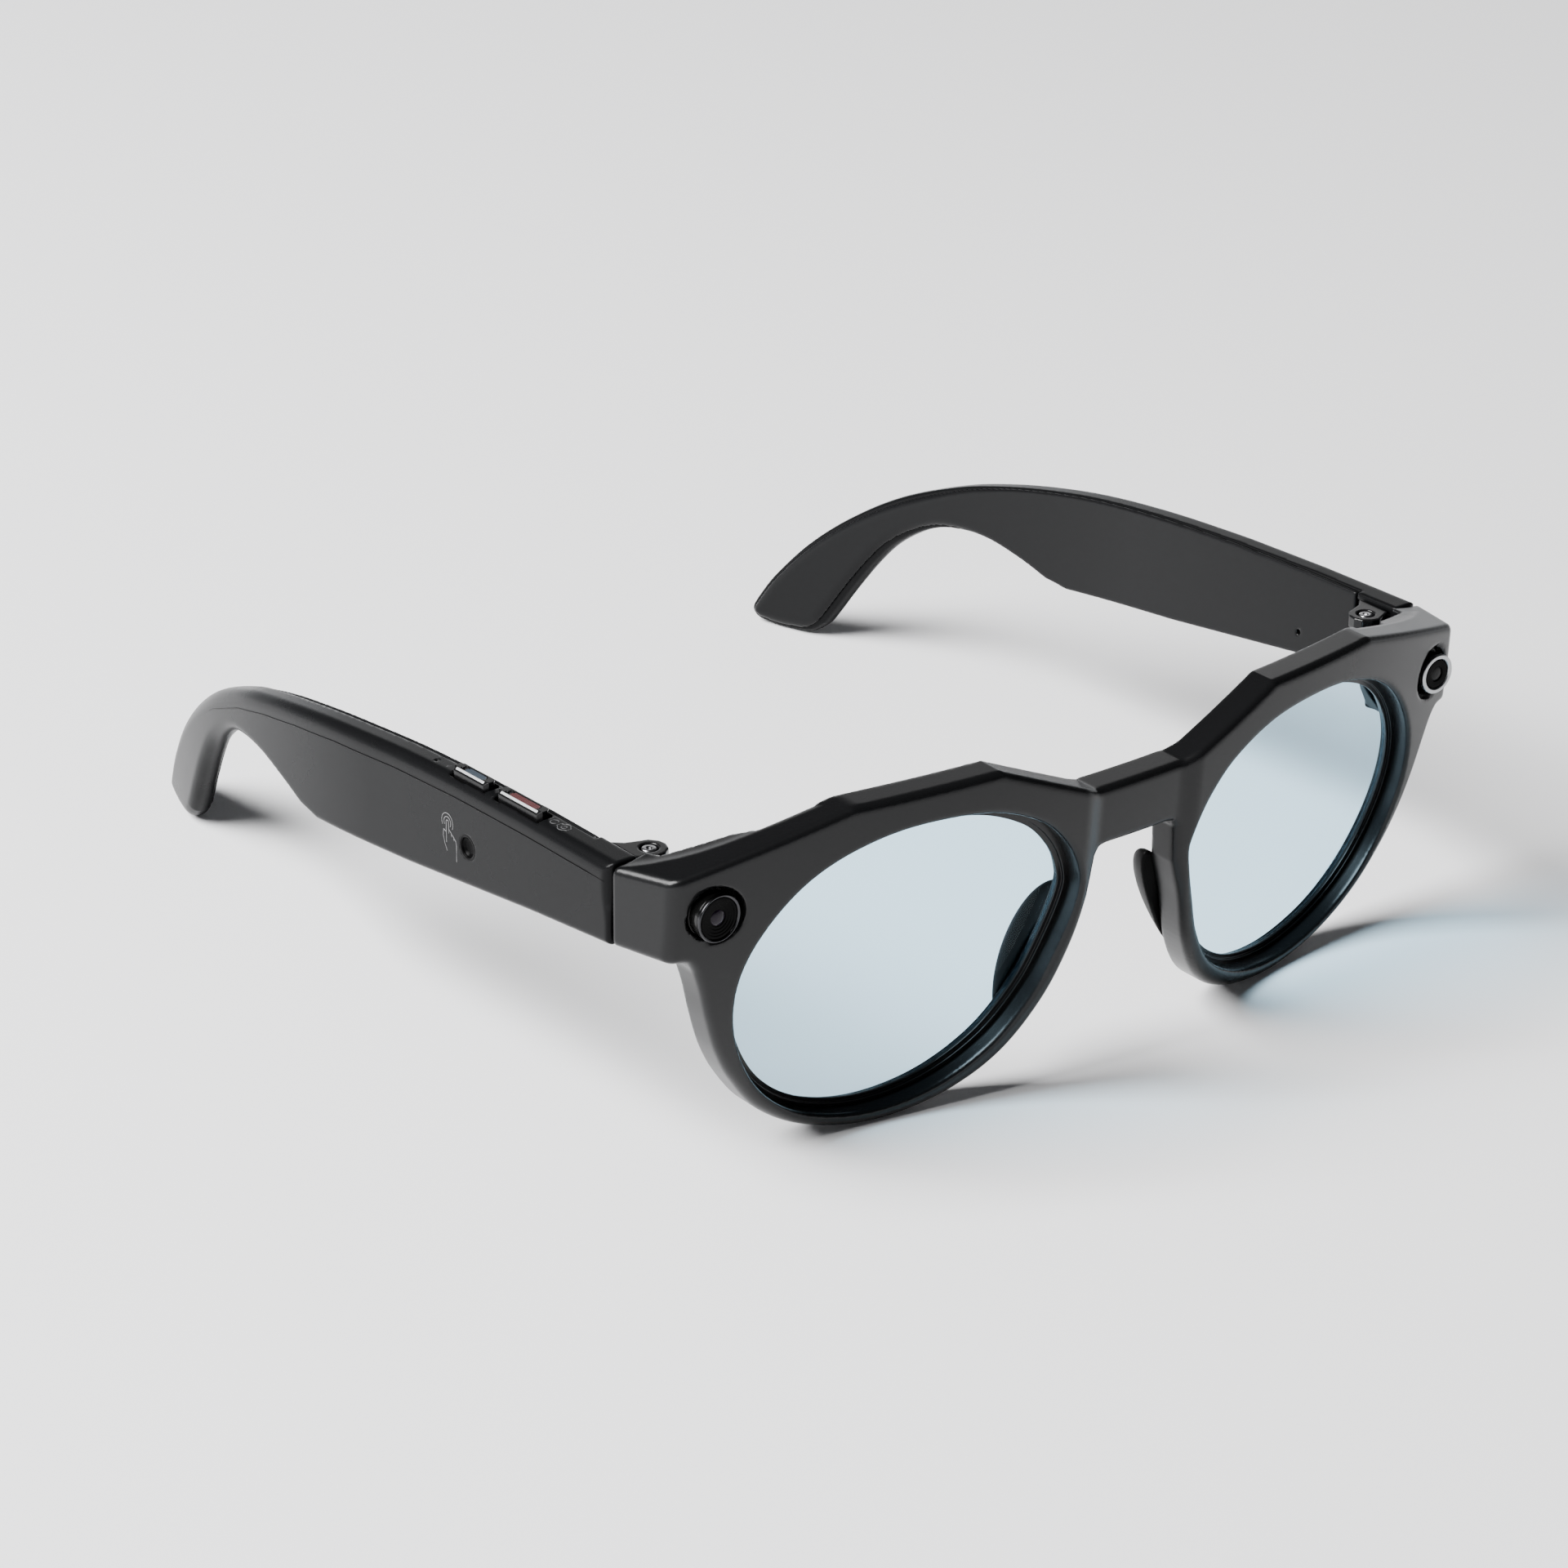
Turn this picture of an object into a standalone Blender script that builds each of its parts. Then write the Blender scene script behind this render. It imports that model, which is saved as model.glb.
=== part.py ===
"""Smart glasses: a curved front with two electronics bays, and two folding temples.

Design frame, in millimetres: +X is the wearer's left, -Y is forward, +Z is up.
x = 0 is the middle of the bridge, y = 0 the front corner of an end piece, z = 0 its top.
The root empty moves that frame so that the origin is under the middle of the glasses.
"""

import math

import bmesh
import bpy
from mathutils import Matrix, Vector

MM = 0.001

# Front: a plate bent to y = NOSE_Y + WRAP x^2 + DROP (z - CROWN_Z)^2
FRONT_HALF_WIDTH = 73.5
PLATE = 5.4
NOSE_Y = -12.6
WRAP = 0.00233
DROP = 0.0034
CROWN_Z = 3.0
BRIDGE_SETBACK = 1.0
BRIDGE_UNDERSIDE_Z = -9.7
END_BOTTOM_Z = -12.9
BUTT_Y = 10.2

# Lens seat: the opening narrows in steps from the front to a lip, and the lens sits behind the lip
OPENING_STEPS = ((0.0, 3.1), (0.8, 3.6), (1.5, 16.0))  # (inset, depth)
SEAT_INSET = 0.8
SEAT_DEPTH = 4.0
LENS_INSET = 1.1
LENS_FRONT = 4.3
LENS_BACK = 5.4

# Camera and light modules, which look straight forward
MODULE_X = 67.8
MODULE_Z = -5.8
MODULE_FRONT_Y = -2.7
POCKET_R = 4.3
BORE_R = 3.75
CAMERA_R = 3.5
LIGHT_R = 3.1

# Bay behind each module, closed by a slanted cover
BAY_A = (61.0, 3.5)
BAY_B = (69.8, 7.8)
COVER = 1.3
GAP = 0.3

# Hinge
PIVOT_X = 67.9
PIVOT_Y = 13.2
KNUCKLE_R = 2.2
KNUCKLE_TOP = -3.5
KNUCKLE_BOTTOM = -9.7
EAR_R = 2.7
EAR_TOP = -1.3
EAR_BOTTOM = -11.2
SCREW_R = 0.8

# Temples
TEMPLE_OUT = 76.6
TEMPLE_IN = 71.6
COVER_OUT = 72.4
SHELL_IN = 72.65
WALL = 1.2
TEMPLE_FRONT = 10.6
COVER_FRONT = 19.2
BEND_START = 70.0
BEND_END = 150.0
BEND_IN = 13.5

# Nose pads: an ellipsoid turned about y, then z, cut off behind the rim
PAD_MIDDLE = (11.6, -6.0, -25.5)
PAD_RADII = (2.5, 6.2, 11.8)
PAD_TURNS = (-19, -8)
PAD_PEG = (11.0, -21.0)

# Buttons on the right temple
BUTTON_X = (73.4, 75.4)
BUTTON_BOTTOM = -3.0
PHOTO_BUTTON_Y = (28.4, 38.9)
VOLUME_BUTTON_Y = (41.4, 49.9)
SLOT_GAP = 0.25
BUTTONS = {"photo_button": PHOTO_BUTTON_Y, "volume_button": VOLUME_BUTTON_Y}

# Small features of the temples, as (y, z)
MIC_YZ = (31.2, -11.6)
TOUCH_YZ = (44.5, -11.1)
CONTACT_Y = (42.5, 47.5)
CONTACT_Z = -7.9

# The design frame's place in the part's own frame
ROOT_Y = -70.7
ROOT_Z = 48.0

BROW = [(8.1, -0.4), (25.5, 7.1), (48.4, 6.7), (FRONT_HALF_WIDTH, 0.0)]
END_CORNER = [(FRONT_HALF_WIDTH, -12.1), (72.9, -12.7), (71.0, -12.7)]
RIM = [
    (69.9, -13.9), (68.4, -18.0), (67.1, -23.5), (65.1, -29.2), (62.2, -34.6), (57.2, -40.8),
    (49.5, -45.6), (39.0, -48.0), (28.0, -46.4), (19.4, -41.4), (13.4, -32.6), (9.7, -22.0), (8.2, -17.0),
]
OPENING = [
    (38.5, 1.9), (47.5, 0.2), (54.6, -3.4), (60.0, -9.2), (63.2, -16.0), (63.6, -23.5), (61.2, -31.5),
    (56.5, -38.5), (49.5, -43.4), (39.5, -45.7), (29.5, -44.1), (21.3, -39.0), (16.0, -31.8),
    (13.0, -24.6), (10.6, -16.6), (10.9, -12.4), (13.6, -7.0), (18.5, -2.3), (27.0, 1.2),
]
TEMPLE_TOP = [
    (10.6, -0.5), (30.0, -0.9), (47.0, -1.6), (63.0, -2.8), (79.0, -4.7), (91.0, -6.8), (102.0, -9.3),
    (112.0, -12.3), (124.0, -17.4), (134.0, -23.6), (142.5, -30.6), (149.3, -38.2), (152.8, -43.4),
]
TEMPLE_TIP = [
    (152.8, -43.4), (153.7, -45.6), (152.6, -47.3), (149.6, -47.9), (145.6, -47.9), (141.8, -47.3), (139.0, -45.2),
]
TEMPLE_UNDER = [
    (139.0, -45.2), (137.2, -42.6), (134.0, -37.8), (129.5, -31.6), (125.0, -26.6), (119.5, -22.6),
    (114.5, -20.3), (109.0, -19.3), (103.0, -19.3), (96.0, -20.6), (90.5, -22.2),
]
TEMPLE_LOWER = [(85.5, -22.7), (60.0, -19.6), (30.0, -15.2), (10.6, -12.7)]


# Scene and objects


def clear_scene():
    for obj in list(bpy.data.objects):
        bpy.data.objects.remove(obj, do_unlink=True)


def new_collection(name):
    collection = bpy.data.collections.new(name)
    bpy.context.scene.collection.children.link(collection)
    return collection


def material(name, color, roughness, metallic=0.0):
    made = bpy.data.materials.new(name)
    made.use_nodes = True
    shader = made.node_tree.nodes["Principled BSDF"]
    shader.inputs["Base Color"].default_value = (*color, 1.0)
    shader.inputs["Roughness"].default_value = roughness
    shader.inputs["Metallic"].default_value = metallic
    return made


clear_scene()
PARTS = new_collection("smart_glasses")
CUTTERS = new_collection("cutters")
CUTTERS.hide_render = True
HELPERS = []  # (helper, the object that it cuts or joins)


def new_object(name, mesh):
    obj = bpy.data.objects.new(name, mesh)
    PARTS.objects.link(obj)
    return obj


def baked(obj):
    """The object with its modifiers worked into its mesh, and their helpers gone."""
    graph = bpy.context.evaluated_depsgraph_get()
    mesh = bpy.data.meshes.new_from_object(obj.evaluated_get(graph))
    helpers = [pair for pair in HELPERS if pair[1] == obj]
    obj.modifiers.clear()
    obj.data = mesh
    for pair in helpers:
        HELPERS.remove(pair)
        bpy.data.objects.remove(pair[0], do_unlink=True)
    return obj


def edited(obj, change):
    """Runs change(bm) on the object's mesh."""
    bm = bmesh.new()
    bm.from_mesh(obj.data)
    change(bm)
    bm.to_mesh(obj.data)
    bm.free()
    return obj


def welded(obj):
    def weld(bm):
        bmesh.ops.remove_doubles(bm, verts=bm.verts, dist=1e-6)
        bmesh.ops.recalc_face_normals(bm, faces=bm.faces)

    return edited(obj, weld)


# Shapes


PLANES = {
    "xz": Matrix(((1, 0, 0), (0, 0, -1), (0, 1, 0))).to_4x4(),
    "yz": Matrix(((0, 0, 1), (1, 0, 0), (0, 1, 0))).to_4x4(),
    "xy": Matrix.Identity(4),
}
AXES = {"xz": Vector((0, 1, 0)), "yz": Vector((1, 0, 0)), "xy": Vector((0, 0, 1))}


def prism(name, loops, plane, low, high):
    """A flat outline, with any holes, given thickness from low to high across its plane."""
    curve = bpy.data.curves.new(name, "CURVE")
    curve.dimensions = "2D"
    curve.fill_mode = "BOTH"
    curve.extrude = (high - low) / 2 * MM
    for loop in loops:
        spline = curve.splines.new("POLY")
        spline.points.add(len(loop) - 1)
        for point, (u, v) in zip(spline.points, loop):
            point.co = (u * MM, v * MM, 0, 1)
        spline.use_cyclic_u = True
    guide = new_object(name + "_outline", curve)
    graph = bpy.context.evaluated_depsgraph_get()
    mesh = bpy.data.meshes.new_from_object(guide.evaluated_get(graph))
    bpy.data.objects.remove(guide, do_unlink=True)
    mesh.transform(Matrix.Translation(AXES[plane] * (low + high) / 2 * MM) @ PLANES[plane])
    return welded(new_object(name, mesh))


def box(name, low, high):
    bm = bmesh.new()
    bmesh.ops.create_cube(bm, size=1.0)
    size = [(b - a) * MM for a, b in zip(low, high)]
    middle = [(a + b) / 2 * MM for a, b in zip(low, high)]
    bmesh.ops.scale(bm, verts=bm.verts, vec=size)
    bmesh.ops.translate(bm, verts=bm.verts, vec=middle)
    mesh = bpy.data.meshes.new(name)
    bm.to_mesh(mesh)
    bm.free()
    return new_object(name, mesh)


def cylinder(name, middle, axis, radius, low, high, top_radius=None, sides=32):
    """A cylinder or cone along an axis letter, from low to high on it; middle gives the other two."""
    bm = bmesh.new()
    bmesh.ops.create_cone(
        bm, cap_ends=True, segments=sides, depth=(high - low) * MM,
        radius1=radius * MM, radius2=(radius if top_radius is None else top_radius) * MM,
    )
    turn = {"x": Matrix.Rotation(math.pi / 2, 4, "Y"), "y": Matrix.Rotation(-math.pi / 2, 4, "X")}
    if axis in turn:
        bmesh.ops.transform(bm, matrix=turn[axis], verts=bm.verts)
    place = list(middle)
    place.insert("xyz".index(axis), (low + high) / 2)
    bmesh.ops.translate(bm, verts=bm.verts, vec=Vector(place) * MM)
    mesh = bpy.data.meshes.new(name)
    bm.to_mesh(mesh)
    bm.free()
    mesh.shade_smooth()
    mesh.set_sharp_from_angle(angle=math.radians(35))
    return new_object(name, mesh)


def soften(obj, width, segments=2, angle=50):
    bevel = obj.modifiers.new("soft_edges", "BEVEL")
    bevel.width = width * MM
    bevel.segments = segments
    bevel.limit_method = "ANGLE"
    bevel.angle_limit = math.radians(angle)
    return obj


def combine(obj, other, operation):
    """A Boolean with another object, which becomes a hidden helper."""
    step = obj.modifiers.new(other.name, "BOOLEAN")
    step.operation = operation
    step.object = other
    step.solver = "EXACT"
    for collection in list(other.users_collection):
        collection.objects.unlink(other)
    CUTTERS.objects.link(other)
    other.hide_render = True
    other.display_type = "WIRE"
    HELPERS.append((other, obj))
    return obj


def cut(obj, *others):
    for other in others:
        combine(obj, other, "DIFFERENCE")
    return obj


def join(obj, *others):
    for other in others:
        combine(obj, other, "UNION")
    return obj


def mirrored(obj, name):
    """A copy of the finished shape across x = 0."""
    graph = bpy.context.evaluated_depsgraph_get()
    mesh = bpy.data.meshes.new_from_object(obj.evaluated_get(graph))
    mesh.transform(Matrix.Scale(-1, 4, (1, 0, 0)))
    mesh.flip_normals()
    return new_object(name, mesh)


def sliced(obj, axis, stations):
    """Extra edges across the object at each station, so that it can bend there."""
    normal = AXES[{"x": "yz", "y": "xz", "z": "xy"}[axis]]

    def slice_it(bm):
        for station in stations:
            geometry = bm.verts[:] + bm.edges[:] + bm.faces[:]
            bmesh.ops.bisect_plane(bm, geom=geometry, dist=1e-7, plane_co=normal * station * MM, plane_no=normal)

    return edited(obj, slice_it)


def bent(obj, shift):
    for vertex in obj.data.vertices:
        vertex.co += shift(vertex.co / MM) * MM
    return obj


# Outlines


def curve_through(points, steps, closed=False):
    """Points on a smooth Catmull-Rom curve through the given ones."""
    count = len(points)
    spans = count if closed else count - 1
    found = []
    for i in range(spans):
        a, b, c, d = (
            Vector(points[j % count] if closed else points[min(max(j, 0), count - 1)])
            for j in range(i - 1, i + 3)
        )
        for step in range(steps):
            t = step / steps
            found.append(
                0.5 * (2 * b + (c - a) * t + (2 * a - 5 * b + 4 * c - d) * t**2 + (3 * b - a - 3 * c + d) * t**3)
            )
    if not closed:
        found.append(Vector(points[-1]))
    return [tuple(p) for p in found]


def inset(loop, amount):
    """A closed clockwise loop moved inwards by an amount."""
    found = []
    for i, point in enumerate(loop):
        along = Vector(loop[(i + 1) % len(loop)]) - Vector(loop[i - 1])
        along.normalize()
        found.append((point[0] + along.y * amount, point[1] - along.x * amount))
    return found


def flipped(loop):
    return [(-x, z) for x, z in loop]


def clipped(loop, low, high):
    """The part of a y, z loop between two y values."""
    kept = []
    for i, (y, z) in enumerate(loop):
        next_y, next_z = loop[(i + 1) % len(loop)]
        if low <= y <= high:
            kept.append((y, z))
        crossed = [edge for edge in (low, high) if (y - edge) * (next_y - edge) < 0]
        for edge in sorted(crossed, key=lambda value: abs(value - y)):
            kept.append((edge, z + (next_z - z) * (edge - y) / (next_y - y)))
    return kept


def arc(middle, radius, start, end, steps):
    """Points round an arc, with its angles in degrees."""
    angles = [math.radians(start + (end - start) * i / steps) for i in range(steps + 1)]
    return [(middle[0] + radius * math.cos(a), middle[1] + radius * math.sin(a)) for a in angles]


def front_surface(co):
    """How far back the front's bent surface lies at a point."""
    edge = min(max((abs(co.x) - 7.0) / 4.0, 0.0), 1.0)
    setback = BRIDGE_SETBACK * (1 - edge * edge * (3 - 2 * edge))
    return NOSE_Y + WRAP * co.x**2 + DROP * (co.z - CROWN_Z) ** 2 + setback


def front_shift(co):
    return Vector((0, front_surface(co), 0))


def temple_shift(co):
    along = max(0.0, (co.y - BEND_START) / (BEND_END - BEND_START))
    return Vector((-BEND_IN * along**2, 0, 0))


FRONT_X = [sign * x for x in (3.5, 7, 9, 11, 20, 30, 40, 50, 59, 67) for sign in (-1, 1)]
FRONT_Z = [-41, -32, -22, -11, 0]


def curved(obj):
    """A flat front piece bent to the front's surface."""
    return bent(sliced(sliced(obj, "x", FRONT_X), "z", FRONT_Z), front_shift)


# Front


def front_outline():
    half = BROW + END_CORNER + curve_through(RIM, 2) + [(7.7, -11.0), (6.8, BRIDGE_UNDERSIDE_Z)]
    return half + flipped(reversed(half))


def end_block(name):
    outline = [
        (60.0, -1.0), (67.0, 0.0), (FRONT_HALF_WIDTH, 0.3), (76.5, BUTT_Y),
        (70.5, BUTT_Y), BAY_B, BAY_A, (58.5, 0.5),
    ]
    return soften(prism(name, [outline], "xy", END_BOTTOM_Z, 0.0), 0.5)


def on_bay(along, out):
    """A point on the slanted back of an end piece, along it from BAY_A and out from it."""
    direction = (Vector(BAY_B) - Vector(BAY_A)).normalized()
    normal = Vector((-direction.y, direction.x))
    return tuple(Vector(BAY_A) + direction * along + normal * out)


def bay_cutter(name):
    outline = [(62.2, -0.4), (68.7, 0.5), on_bay(8.7, 0.0), on_bay(8.7, 2.0), on_bay(1.2, 2.0), on_bay(1.2, 0.0)]
    return prism(name, [outline], "xy", -11.4, -1.5)


def module_cutters(name):
    middle = (MODULE_X, MODULE_Z)
    pocket = cylinder(name + "_pocket", middle, "y", POCKET_R, -9.0, -0.9, sides=40)
    bore = cylinder(name + "_bore", middle, "y", BORE_R, -9.0, 1.2, sides=40)
    return pocket, bore


def pad_peg_cutter(name):
    return cylinder(name, PAD_PEG, "y", 0.95, -8.0, -1.0, sides=16)


def opening_prism(name, amount, low, high):
    loop = inset(curve_through(OPENING, 2, closed=True), amount)
    return curved(prism(name, [loop], "xz", low, high))


def opening_cutters(side):
    """The bent cutters of one opening: its narrowing steps, and the lens seat behind the lip."""
    found = [
        opening_prism(f"{side}_opening_{number}", amount, -4.0, depth)
        for number, (amount, depth) in enumerate(OPENING_STEPS)
    ]
    return found + [opening_prism(f"{side}_lens_seat", SEAT_INSET, SEAT_DEPTH, 15.0)]


def make_front_frame():
    frame = prism("front_frame", [front_outline()], "xz", 0.0, PLATE)
    curved(baked(soften(frame, 0.7, angle=60)))
    for side in ("left", "right"):
        block = end_block(f"{side}_end_block")
        cutters = [bay_cutter(f"{side}_bay"), *module_cutters(f"{side}_module")]
        cutters += [pad_peg_cutter(f"{side}_pad_peg"), *opening_cutters(side)]
        if side == "right":
            for obj in (block, *cutters):
                to_right(obj)
        join(frame, block)
        cut(frame, *cutters)
    return frame


def make_lens(name):
    return opening_prism(name, LENS_INSET, LENS_FRONT, LENS_BACK)


def make_nose_pad(name):
    bm = bmesh.new()
    bmesh.ops.create_uvsphere(bm, u_segments=24, v_segments=14, radius=1.0)
    bmesh.ops.scale(bm, verts=bm.verts, vec=[radius * MM for radius in PAD_RADII])
    bmesh.ops.rotate(bm, verts=bm.verts, matrix=Matrix.Rotation(math.radians(PAD_TURNS[0]), 3, "Y"))
    bmesh.ops.rotate(bm, verts=bm.verts, matrix=Matrix.Rotation(math.radians(PAD_TURNS[1]), 3, "Z"))
    bmesh.ops.translate(bm, verts=bm.verts, vec=Vector(PAD_MIDDLE) * MM)
    mesh = bpy.data.meshes.new(name)
    bm.to_mesh(mesh)
    bm.free()
    mesh.shade_smooth()
    pad = new_object(name, mesh)
    loop = [(0, 4), (24, 4), (24, -46), (0, -46)]
    cut(pad, curved(prism(name + "_rim_side", [loop], "xz", -10.0, PLATE + GAP)))
    return join(pad, cylinder(name + "_peg", PAD_PEG, "y", 0.65, -7.4, -3.0, sides=16))


def make_bay_cover(name):
    outline = [on_bay(a, o) for a, o in ((0.6, GAP), (9.4, GAP), (9.4, GAP + COVER), (0.6, GAP + COVER))]
    cover = prism(name, [outline], "xy", -12.3, -0.5)
    slot = box(name + "_leaf_slot", (65.9, 3.0, KNUCKLE_BOTTOM - GAP), (68.7, 12.0, KNUCKLE_TOP + GAP))
    return cut(cover, slot)


def make_knuckle(name):
    middle = (PIVOT_X, PIVOT_Y)
    barrel = cylinder(name, middle, "z", KNUCKLE_R, KNUCKLE_BOTTOM, KNUCKLE_TOP)
    leaf = box(name + "_leaf", (66.2, 5.4, KNUCKLE_BOTTOM), (68.4, PIVOT_Y, KNUCKLE_TOP))
    bore = cylinder(name + "_bore", middle, "z", SCREW_R + 0.15, -20, 5, sides=24)
    return cut(join(barrel, leaf), bore)


def ring(name, middle, outer, inner, low, high):
    body = cylinder(name, middle, "y", outer, low, high, sides=40)
    return cut(body, cylinder(name + "_hole", middle, "y", inner, low - 1, high + 1, sides=40))


def make_module(names, middle, radius, ring_bore):
    """Barrel, ring and window of a round module that looks forward."""
    front = MODULE_FRONT_Y
    barrel = cylinder(names[0], middle, "y", radius - 0.1, front + 0.9, 1.0, sides=40)
    window = cylinder(names[2], middle, "y", ring_bore - GAP, front + 0.15, front + 0.6, sides=40)
    return [barrel, ring(names[1], middle, radius, ring_bore, front, front + 0.6), window]


def make_camera():
    middle = (-MODULE_X, MODULE_Z)
    made = make_module(("camera_barrel", "camera_trim_ring", "camera_cover_glass"), middle, CAMERA_R, 2.7)
    cut(made[0], cylinder("camera_tube_bore", middle, "y", 1.8, MODULE_FRONT_Y - 1, 0.6, sides=24))
    return made + [box("camera_sensor_module", (-68.4, 1.4, -8.8), (-64.6, 3.6, -2.8))]


def make_light():
    middle = (MODULE_X, MODULE_Z)
    made = make_module(("light_barrel", "light_ring", "light_window"), middle, LIGHT_R, 2.35)
    board = box("light_board", (64.6, 1.4, -8.8), (68.4, 2.4, -2.8))
    return made + [join(board, box("light_driver", (65.4, 2.2, -7.4), (67.6, 3.4, -4.4)))]


# Temples


def temple_outline():
    upper = TEMPLE_TOP[:3] + curve_through(TEMPLE_TOP[3:], 2)[:-1]
    tip = curve_through(TEMPLE_TIP, 3)[:-1]
    under = curve_through(TEMPLE_UNDER, 2)
    return upper + tip + under + TEMPLE_LOWER


TEMPLE_Y = [78, 86, 94, 102, 110, 118, 126, 134, 142, 149]


def temple_piece(name, loop, low, high, edge=0.0):
    piece = prism(name, [loop], "yz", low, high)
    if edge:
        baked(soften(piece, edge, angle=60))
    return bent(sliced(piece, "y", TEMPLE_Y), temple_shift)


def make_temple_shell(name):
    outline = temple_outline()
    shell = temple_piece(name, outline, TEMPLE_IN, TEMPLE_OUT, edge=0.6)
    low = COVER_FRONT - GAP
    cover_room = [(low, 6.0), (170.0, 6.0), (170.0, -60.0), (low, -60.0)]
    cut(shell, temple_piece(name + "_cover_room", cover_room, TEMPLE_IN - 3, SHELL_IN))
    hollow = clipped(inset(outline, WALL), TEMPLE_FRONT + WALL, 104.0)
    cut(shell, temple_piece(name + "_hollow", hollow, TEMPLE_IN - 2, TEMPLE_OUT - WALL))
    return shell


def make_temple_cover(name):
    loop = clipped(inset(temple_outline(), 0.15), COVER_FRONT, 200)
    return temple_piece(name, loop, TEMPLE_IN, COVER_OUT)


def make_hinge_bracket(name):
    outline = arc((PIVOT_X, PIVOT_Y), EAR_R, 90, 270, 12) + [(71.5, 12.1), (74.9, 12.1), (74.9, 18.4), (71.5, 18.4)]
    bracket = prism(name, [outline], "xy", EAR_BOTTOM, EAR_TOP)
    gap = box(name + "_gap", (60.0, 5.0, KNUCKLE_BOTTOM - GAP), (71.4, 25.0, KNUCKLE_TOP + GAP))
    bore = cylinder(name + "_bore", (PIVOT_X, PIVOT_Y), "z", SCREW_R + 0.15, -20, 5, sides=24)
    sink = cylinder(name + "_sink", (PIVOT_X, PIVOT_Y), "z", 1.65, -2.4, 0.0, sides=24)
    shoulder = box(name + "_shoulder", (71.3, 5.0, -2.2), (80.0, 25.0, 0.0))
    return cut(bracket, gap, bore, sink, shoulder)


def make_hinge_screw(name):
    middle = (PIVOT_X, PIVOT_Y)
    screw = cylinder(name, middle, "z", SCREW_R, EAR_BOTTOM + 0.2, -1.6, sides=24)
    head = cylinder(name + "_head", middle, "z", 1.45, -2.2, -1.35, sides=24)
    socket = cylinder(name + "_socket", middle, "z", 0.7, -1.9, 0.0, sides=6)
    return cut(join(screw, head), socket)


def make_button(name, span):
    top = TEMPLE_TOP[1][1] + 1.0 if span is PHOTO_BUTTON_Y else TEMPLE_TOP[2][1] + 1.1
    side = [
        (span[0], BUTTON_BOTTOM), (span[0], top - 0.4), (span[0] + 0.5, top),
        (span[1] - 0.5, top - 0.25), (span[1], top - 0.7), (span[1], BUTTON_BOTTOM),
    ]
    return prism(name, [side], "yz", *BUTTON_X)


def button_slot(name, span):
    low = (BUTTON_X[0] - SLOT_GAP, span[0] - SLOT_GAP, -4.0)
    return box(name, low, (BUTTON_X[1] + SLOT_GAP, span[1] + SLOT_GAP, 3.0))


def make_switch(name, span):
    middle = (span[0] + span[1]) / 2
    body = box(name, (73.4, middle - 1.6, -4.6), (75.1, middle + 1.6, -3.9))
    dome = cylinder(name + "_dome", (74.25, middle), "z", 0.75, -4.2, BUTTON_BOTTOM - 0.5, top_radius=0.5, sides=16)
    return join(body, dome)


def make_battery(name):
    return soften(box(name, (73.0, 54.0, -16.4), (74.9, 81.0, -7.4)), 0.3, angle=30)


def make_board(name, low_y, high_y):
    board = box(name, (73.5, low_y, -12.2), (74.2, high_y, -5.2))
    chips = [(low_y + 3, -11.0, 7.0, 4.6), (low_y + 14, -10.6, 5.0, 4.0), (low_y + 22, -11.0, 4.0, 3.0)]
    for number, (y, z, length, height) in enumerate(chips):
        join(board, box(f"{name}_chip_{number}", (73.2, y, z), (73.7, y + length, z + height)))
    return board


def make_speaker(name):
    return soften(box(name, (72.0, 89.0, -17.2), (73.3, 98.6, -9.9)), 0.4, angle=30)


def make_microphone(name, y, z):
    return cylinder(name, (y, z), "x", 1.1, 72.65, 73.0, sides=20)


def pinhole(name, y, z):
    return cylinder(name, (y, z), "x", 0.4, 70.0, 73.5, sides=16)


# Putting it together


FINISHES = {
    # word in the name: colour, roughness, metallic
    "frame": ((0.018, 0.019, 0.021), 0.42, 0.0),
    "shell": ((0.018, 0.019, 0.021), 0.42, 0.0),
    "cover": ((0.016, 0.017, 0.019), 0.45, 0.0),
    "lens": ((0.78, 0.9, 1.0), 0.03, 0.0),
    "pad": ((0.01, 0.01, 0.011), 0.6, 0.0),
    "glass": ((0.01, 0.01, 0.012), 0.05, 0.0),
    "window": ((0.02, 0.022, 0.02), 0.08, 0.0),
    "barrel": ((0.02, 0.02, 0.022), 0.3, 0.0),
    "trim": ((0.08, 0.08, 0.085), 0.3, 1.0),
    "light_ring": ((0.6, 0.61, 0.62), 0.28, 1.0),
    "hinge": ((0.03, 0.03, 0.032), 0.35, 1.0),
    "knuckle": ((0.03, 0.03, 0.032), 0.35, 1.0),
    "screw": ((0.62, 0.62, 0.63), 0.25, 1.0),
    "contacts": ((0.75, 0.58, 0.25), 0.3, 1.0),
    "battery": ((0.35, 0.36, 0.38), 0.4, 0.6),
    "board": ((0.02, 0.09, 0.04), 0.5, 0.0),
    "module": ((0.03, 0.03, 0.03), 0.5, 0.0),
    "photo_button": ((0.32, 0.05, 0.045), 0.35, 0.5),
    "volume_button": ((0.16, 0.2, 0.25), 0.35, 0.5),
}
PLAIN = ((0.1, 0.1, 0.1), 0.5, 0.0)


def finish(obj):
    """The piece's own material, and smooth shading where it is round."""
    words = [word for word in FINISHES if word in obj.name]
    color, roughness, metallic = FINISHES[words[-1]] if words else PLAIN
    obj.data.materials.clear()
    obj.data.materials.append(material(obj.name, color, roughness, metallic))
    obj.data.shade_smooth()
    obj.data.set_sharp_from_angle(angle=math.radians(35))


def empty(name, place, parent=None):
    obj = bpy.data.objects.new(name, None)
    PARTS.objects.link(obj)
    obj.location = Vector(place) * MM
    obj.parent = parent
    return obj


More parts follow.
